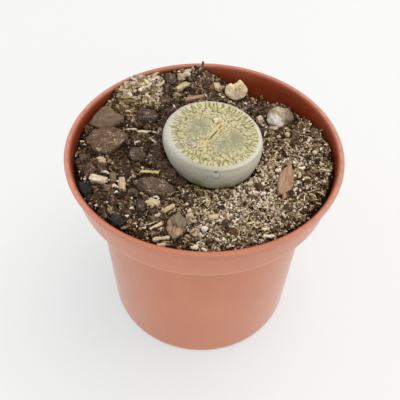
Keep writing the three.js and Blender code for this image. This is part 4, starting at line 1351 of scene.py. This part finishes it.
def own_axes(points):
    """Middle and axes of a piece: the longest, pointing backwards, a second, and one that points up."""
    middle = points.mean(axis=0)
    _, axes = np.linalg.eigh(np.cov((points - middle).T))
    longest = axes[:, 2] * (1 if axes[1, 2] >= 0 else -1)
    upward = axes[:, 0] * (1 if axes[2, 0] >= 0 else -1)
    return middle, np.column_stack([longest, np.cross(upward, longest), upward])


def make_loose(name, material, slot, dress, voxel, ragged, seed):
    mesh = finer(name, voxel)
    points = vectors_of(mesh.vertices, "co")
    normals = vectors_of(mesh.vertices, "normal")
    middle, axes = own_axes(points)
    local = (points - middle) @ axes
    half = np.abs(local).max(axis=0)
    offset = (points - middle) / np.abs(points - middle).max(axis=0)
    set_values(mesh, "along", local[:, 0] / half[0])
    set_values(mesh, "across", local[:, 1] / half[1])
    set_values(mesh, "right", offset[:, 0])
    set_values(mesh, "back", offset[:, 1])
    set_values(mesh, "grain", local + 3.1 * seed)
    points = points + normals * dress(points, local, normals, seed)[:, None]
    points = points + (LENGTHENED.get(name, 0) * local[:, 0])[:, None] * axes[:, 0]
    if name == "bark_brown_slab":
        points[:, 1:] += np.outer(np.maximum(0, points[:, 0] - middle[0]), SLAB_TURN)
    if ragged:
        ends = smoothstep(np.abs(local[:, 0]) / half[0], 0.6, 1) * np.sign(local[:, 0])
        fibre = noise(local * [0.02, 1, 1], 0.36, seed + 5)
        points = points + (ragged * ends * fibre)[:, None] * axes[:, 0]
    mesh.vertices.foreach_set("co", (points * MM).ravel())
    mesh.update()
    add_piece(name + "_look", mesh, material, slot, [name])


# Camera, floor and light


def place_camera():
    camera = new_object("camera", bpy.data.cameras.new("camera"))
    right = Vector((0.99941676, 0.02819186, 0.01927054))
    up = Vector((-0.03385993, 0.74486906, 0.66635095))
    ahead = Vector((-0.00443165, 0.6666148, -0.7453892))
    place = Vector((0, -105.158, 151.886)) * MM
    camera.matrix_world = Matrix.Translation(place) @ Matrix((right, up, -ahead)).transposed().to_4x4()
    camera.data.lens = 55.867
    camera.data.sensor_width = 36
    camera.data.clip_start = 0.01
    camera.data.clip_end = 20
    bpy.context.scene.camera = camera


def place_lights():
    world = bpy.data.worlds.new("studio")
    bpy.context.scene.world = world
    world.use_nodes = True
    background = world.node_tree.nodes["Background"]
    background.inputs["Color"].default_value = (1, 0.995, 0.985, 1)
    background.inputs["Strength"].default_value = 0.78
    aim = Vector((0, 0, 0.03))
    for name, place, size, power in (
        ("softbox_top", (0.34, 0.12, 0.9), 0.8, 3.2),
        ("softbox_front", (0.25, -0.9, 0.55), 0.9, 1.45),
    ):
        lamp = new_object(name, bpy.data.lights.new(name, "AREA"))
        lamp.data.size = size
        lamp.data.energy = power
        lamp.location = place
        lamp.rotation_euler = (aim - Vector(place)).to_track_quat("-Z", "Y").to_euler()
    bpy.context.scene.view_settings.view_transform = "Standard"


def place_floor(half=3000):
    look = Look("floor", 0.7, Emission_Color=(0.69, 0.957, 1, 1), Emission_Strength=0.49)
    pale = look.ramp(look.noise(400, 1), (0, (0.545, 0.426, 0.396, 1)), (1, (0.555, 0.434, 0.404, 1)))
    corners = [[-half, -half, 0], [half, -half, 0], [half, half, 0], [-half, half, 0]]
    floor = add_piece("floor", new_mesh("floor", corners, np.array([[0, 1, 2, 3]])), look.finish(pale))


def main():
    place_camera()
    place_lights()
    place_floor()
    looks = {
        "bark_crumbs": grain_look("bark_crumbs", BARK_TONES, dusty=True),
        "mix_grains": grain_look("mix_grains", MIX_TONES),
        "mix_straw": grain_look("mix_straw", STRAW_TONES, 0.8, 0.02),
        "mix_bits": grain_look("mix_bits", MIX_TONES, 0.8, 0.02),
        "flake_folded": folded_look("flake_folded"),
        "stone_mottled": mottled_look("stone_mottled"),
    }
    for make_look, table in ((bark_look, BARKS), (wood_look, WOODS), (stone_look, STONES)):
        looks |= {name: make_look(name, *row) for name, row in table.items()}
    make_pot(pot_look("pot_plastic", 0.4), pot_look("pot_inside", 0))
    make_plant(plant_look())
    make_bed(soil_look())
    for index, (name, look, *row) in enumerate(LOOSE):
        make_loose(name, looks[look], *row, FIRST_SEED + SEED_STEP * index)
    make_crumbs(clear_of([row[0] for row in LOOSE]), looks)


main()
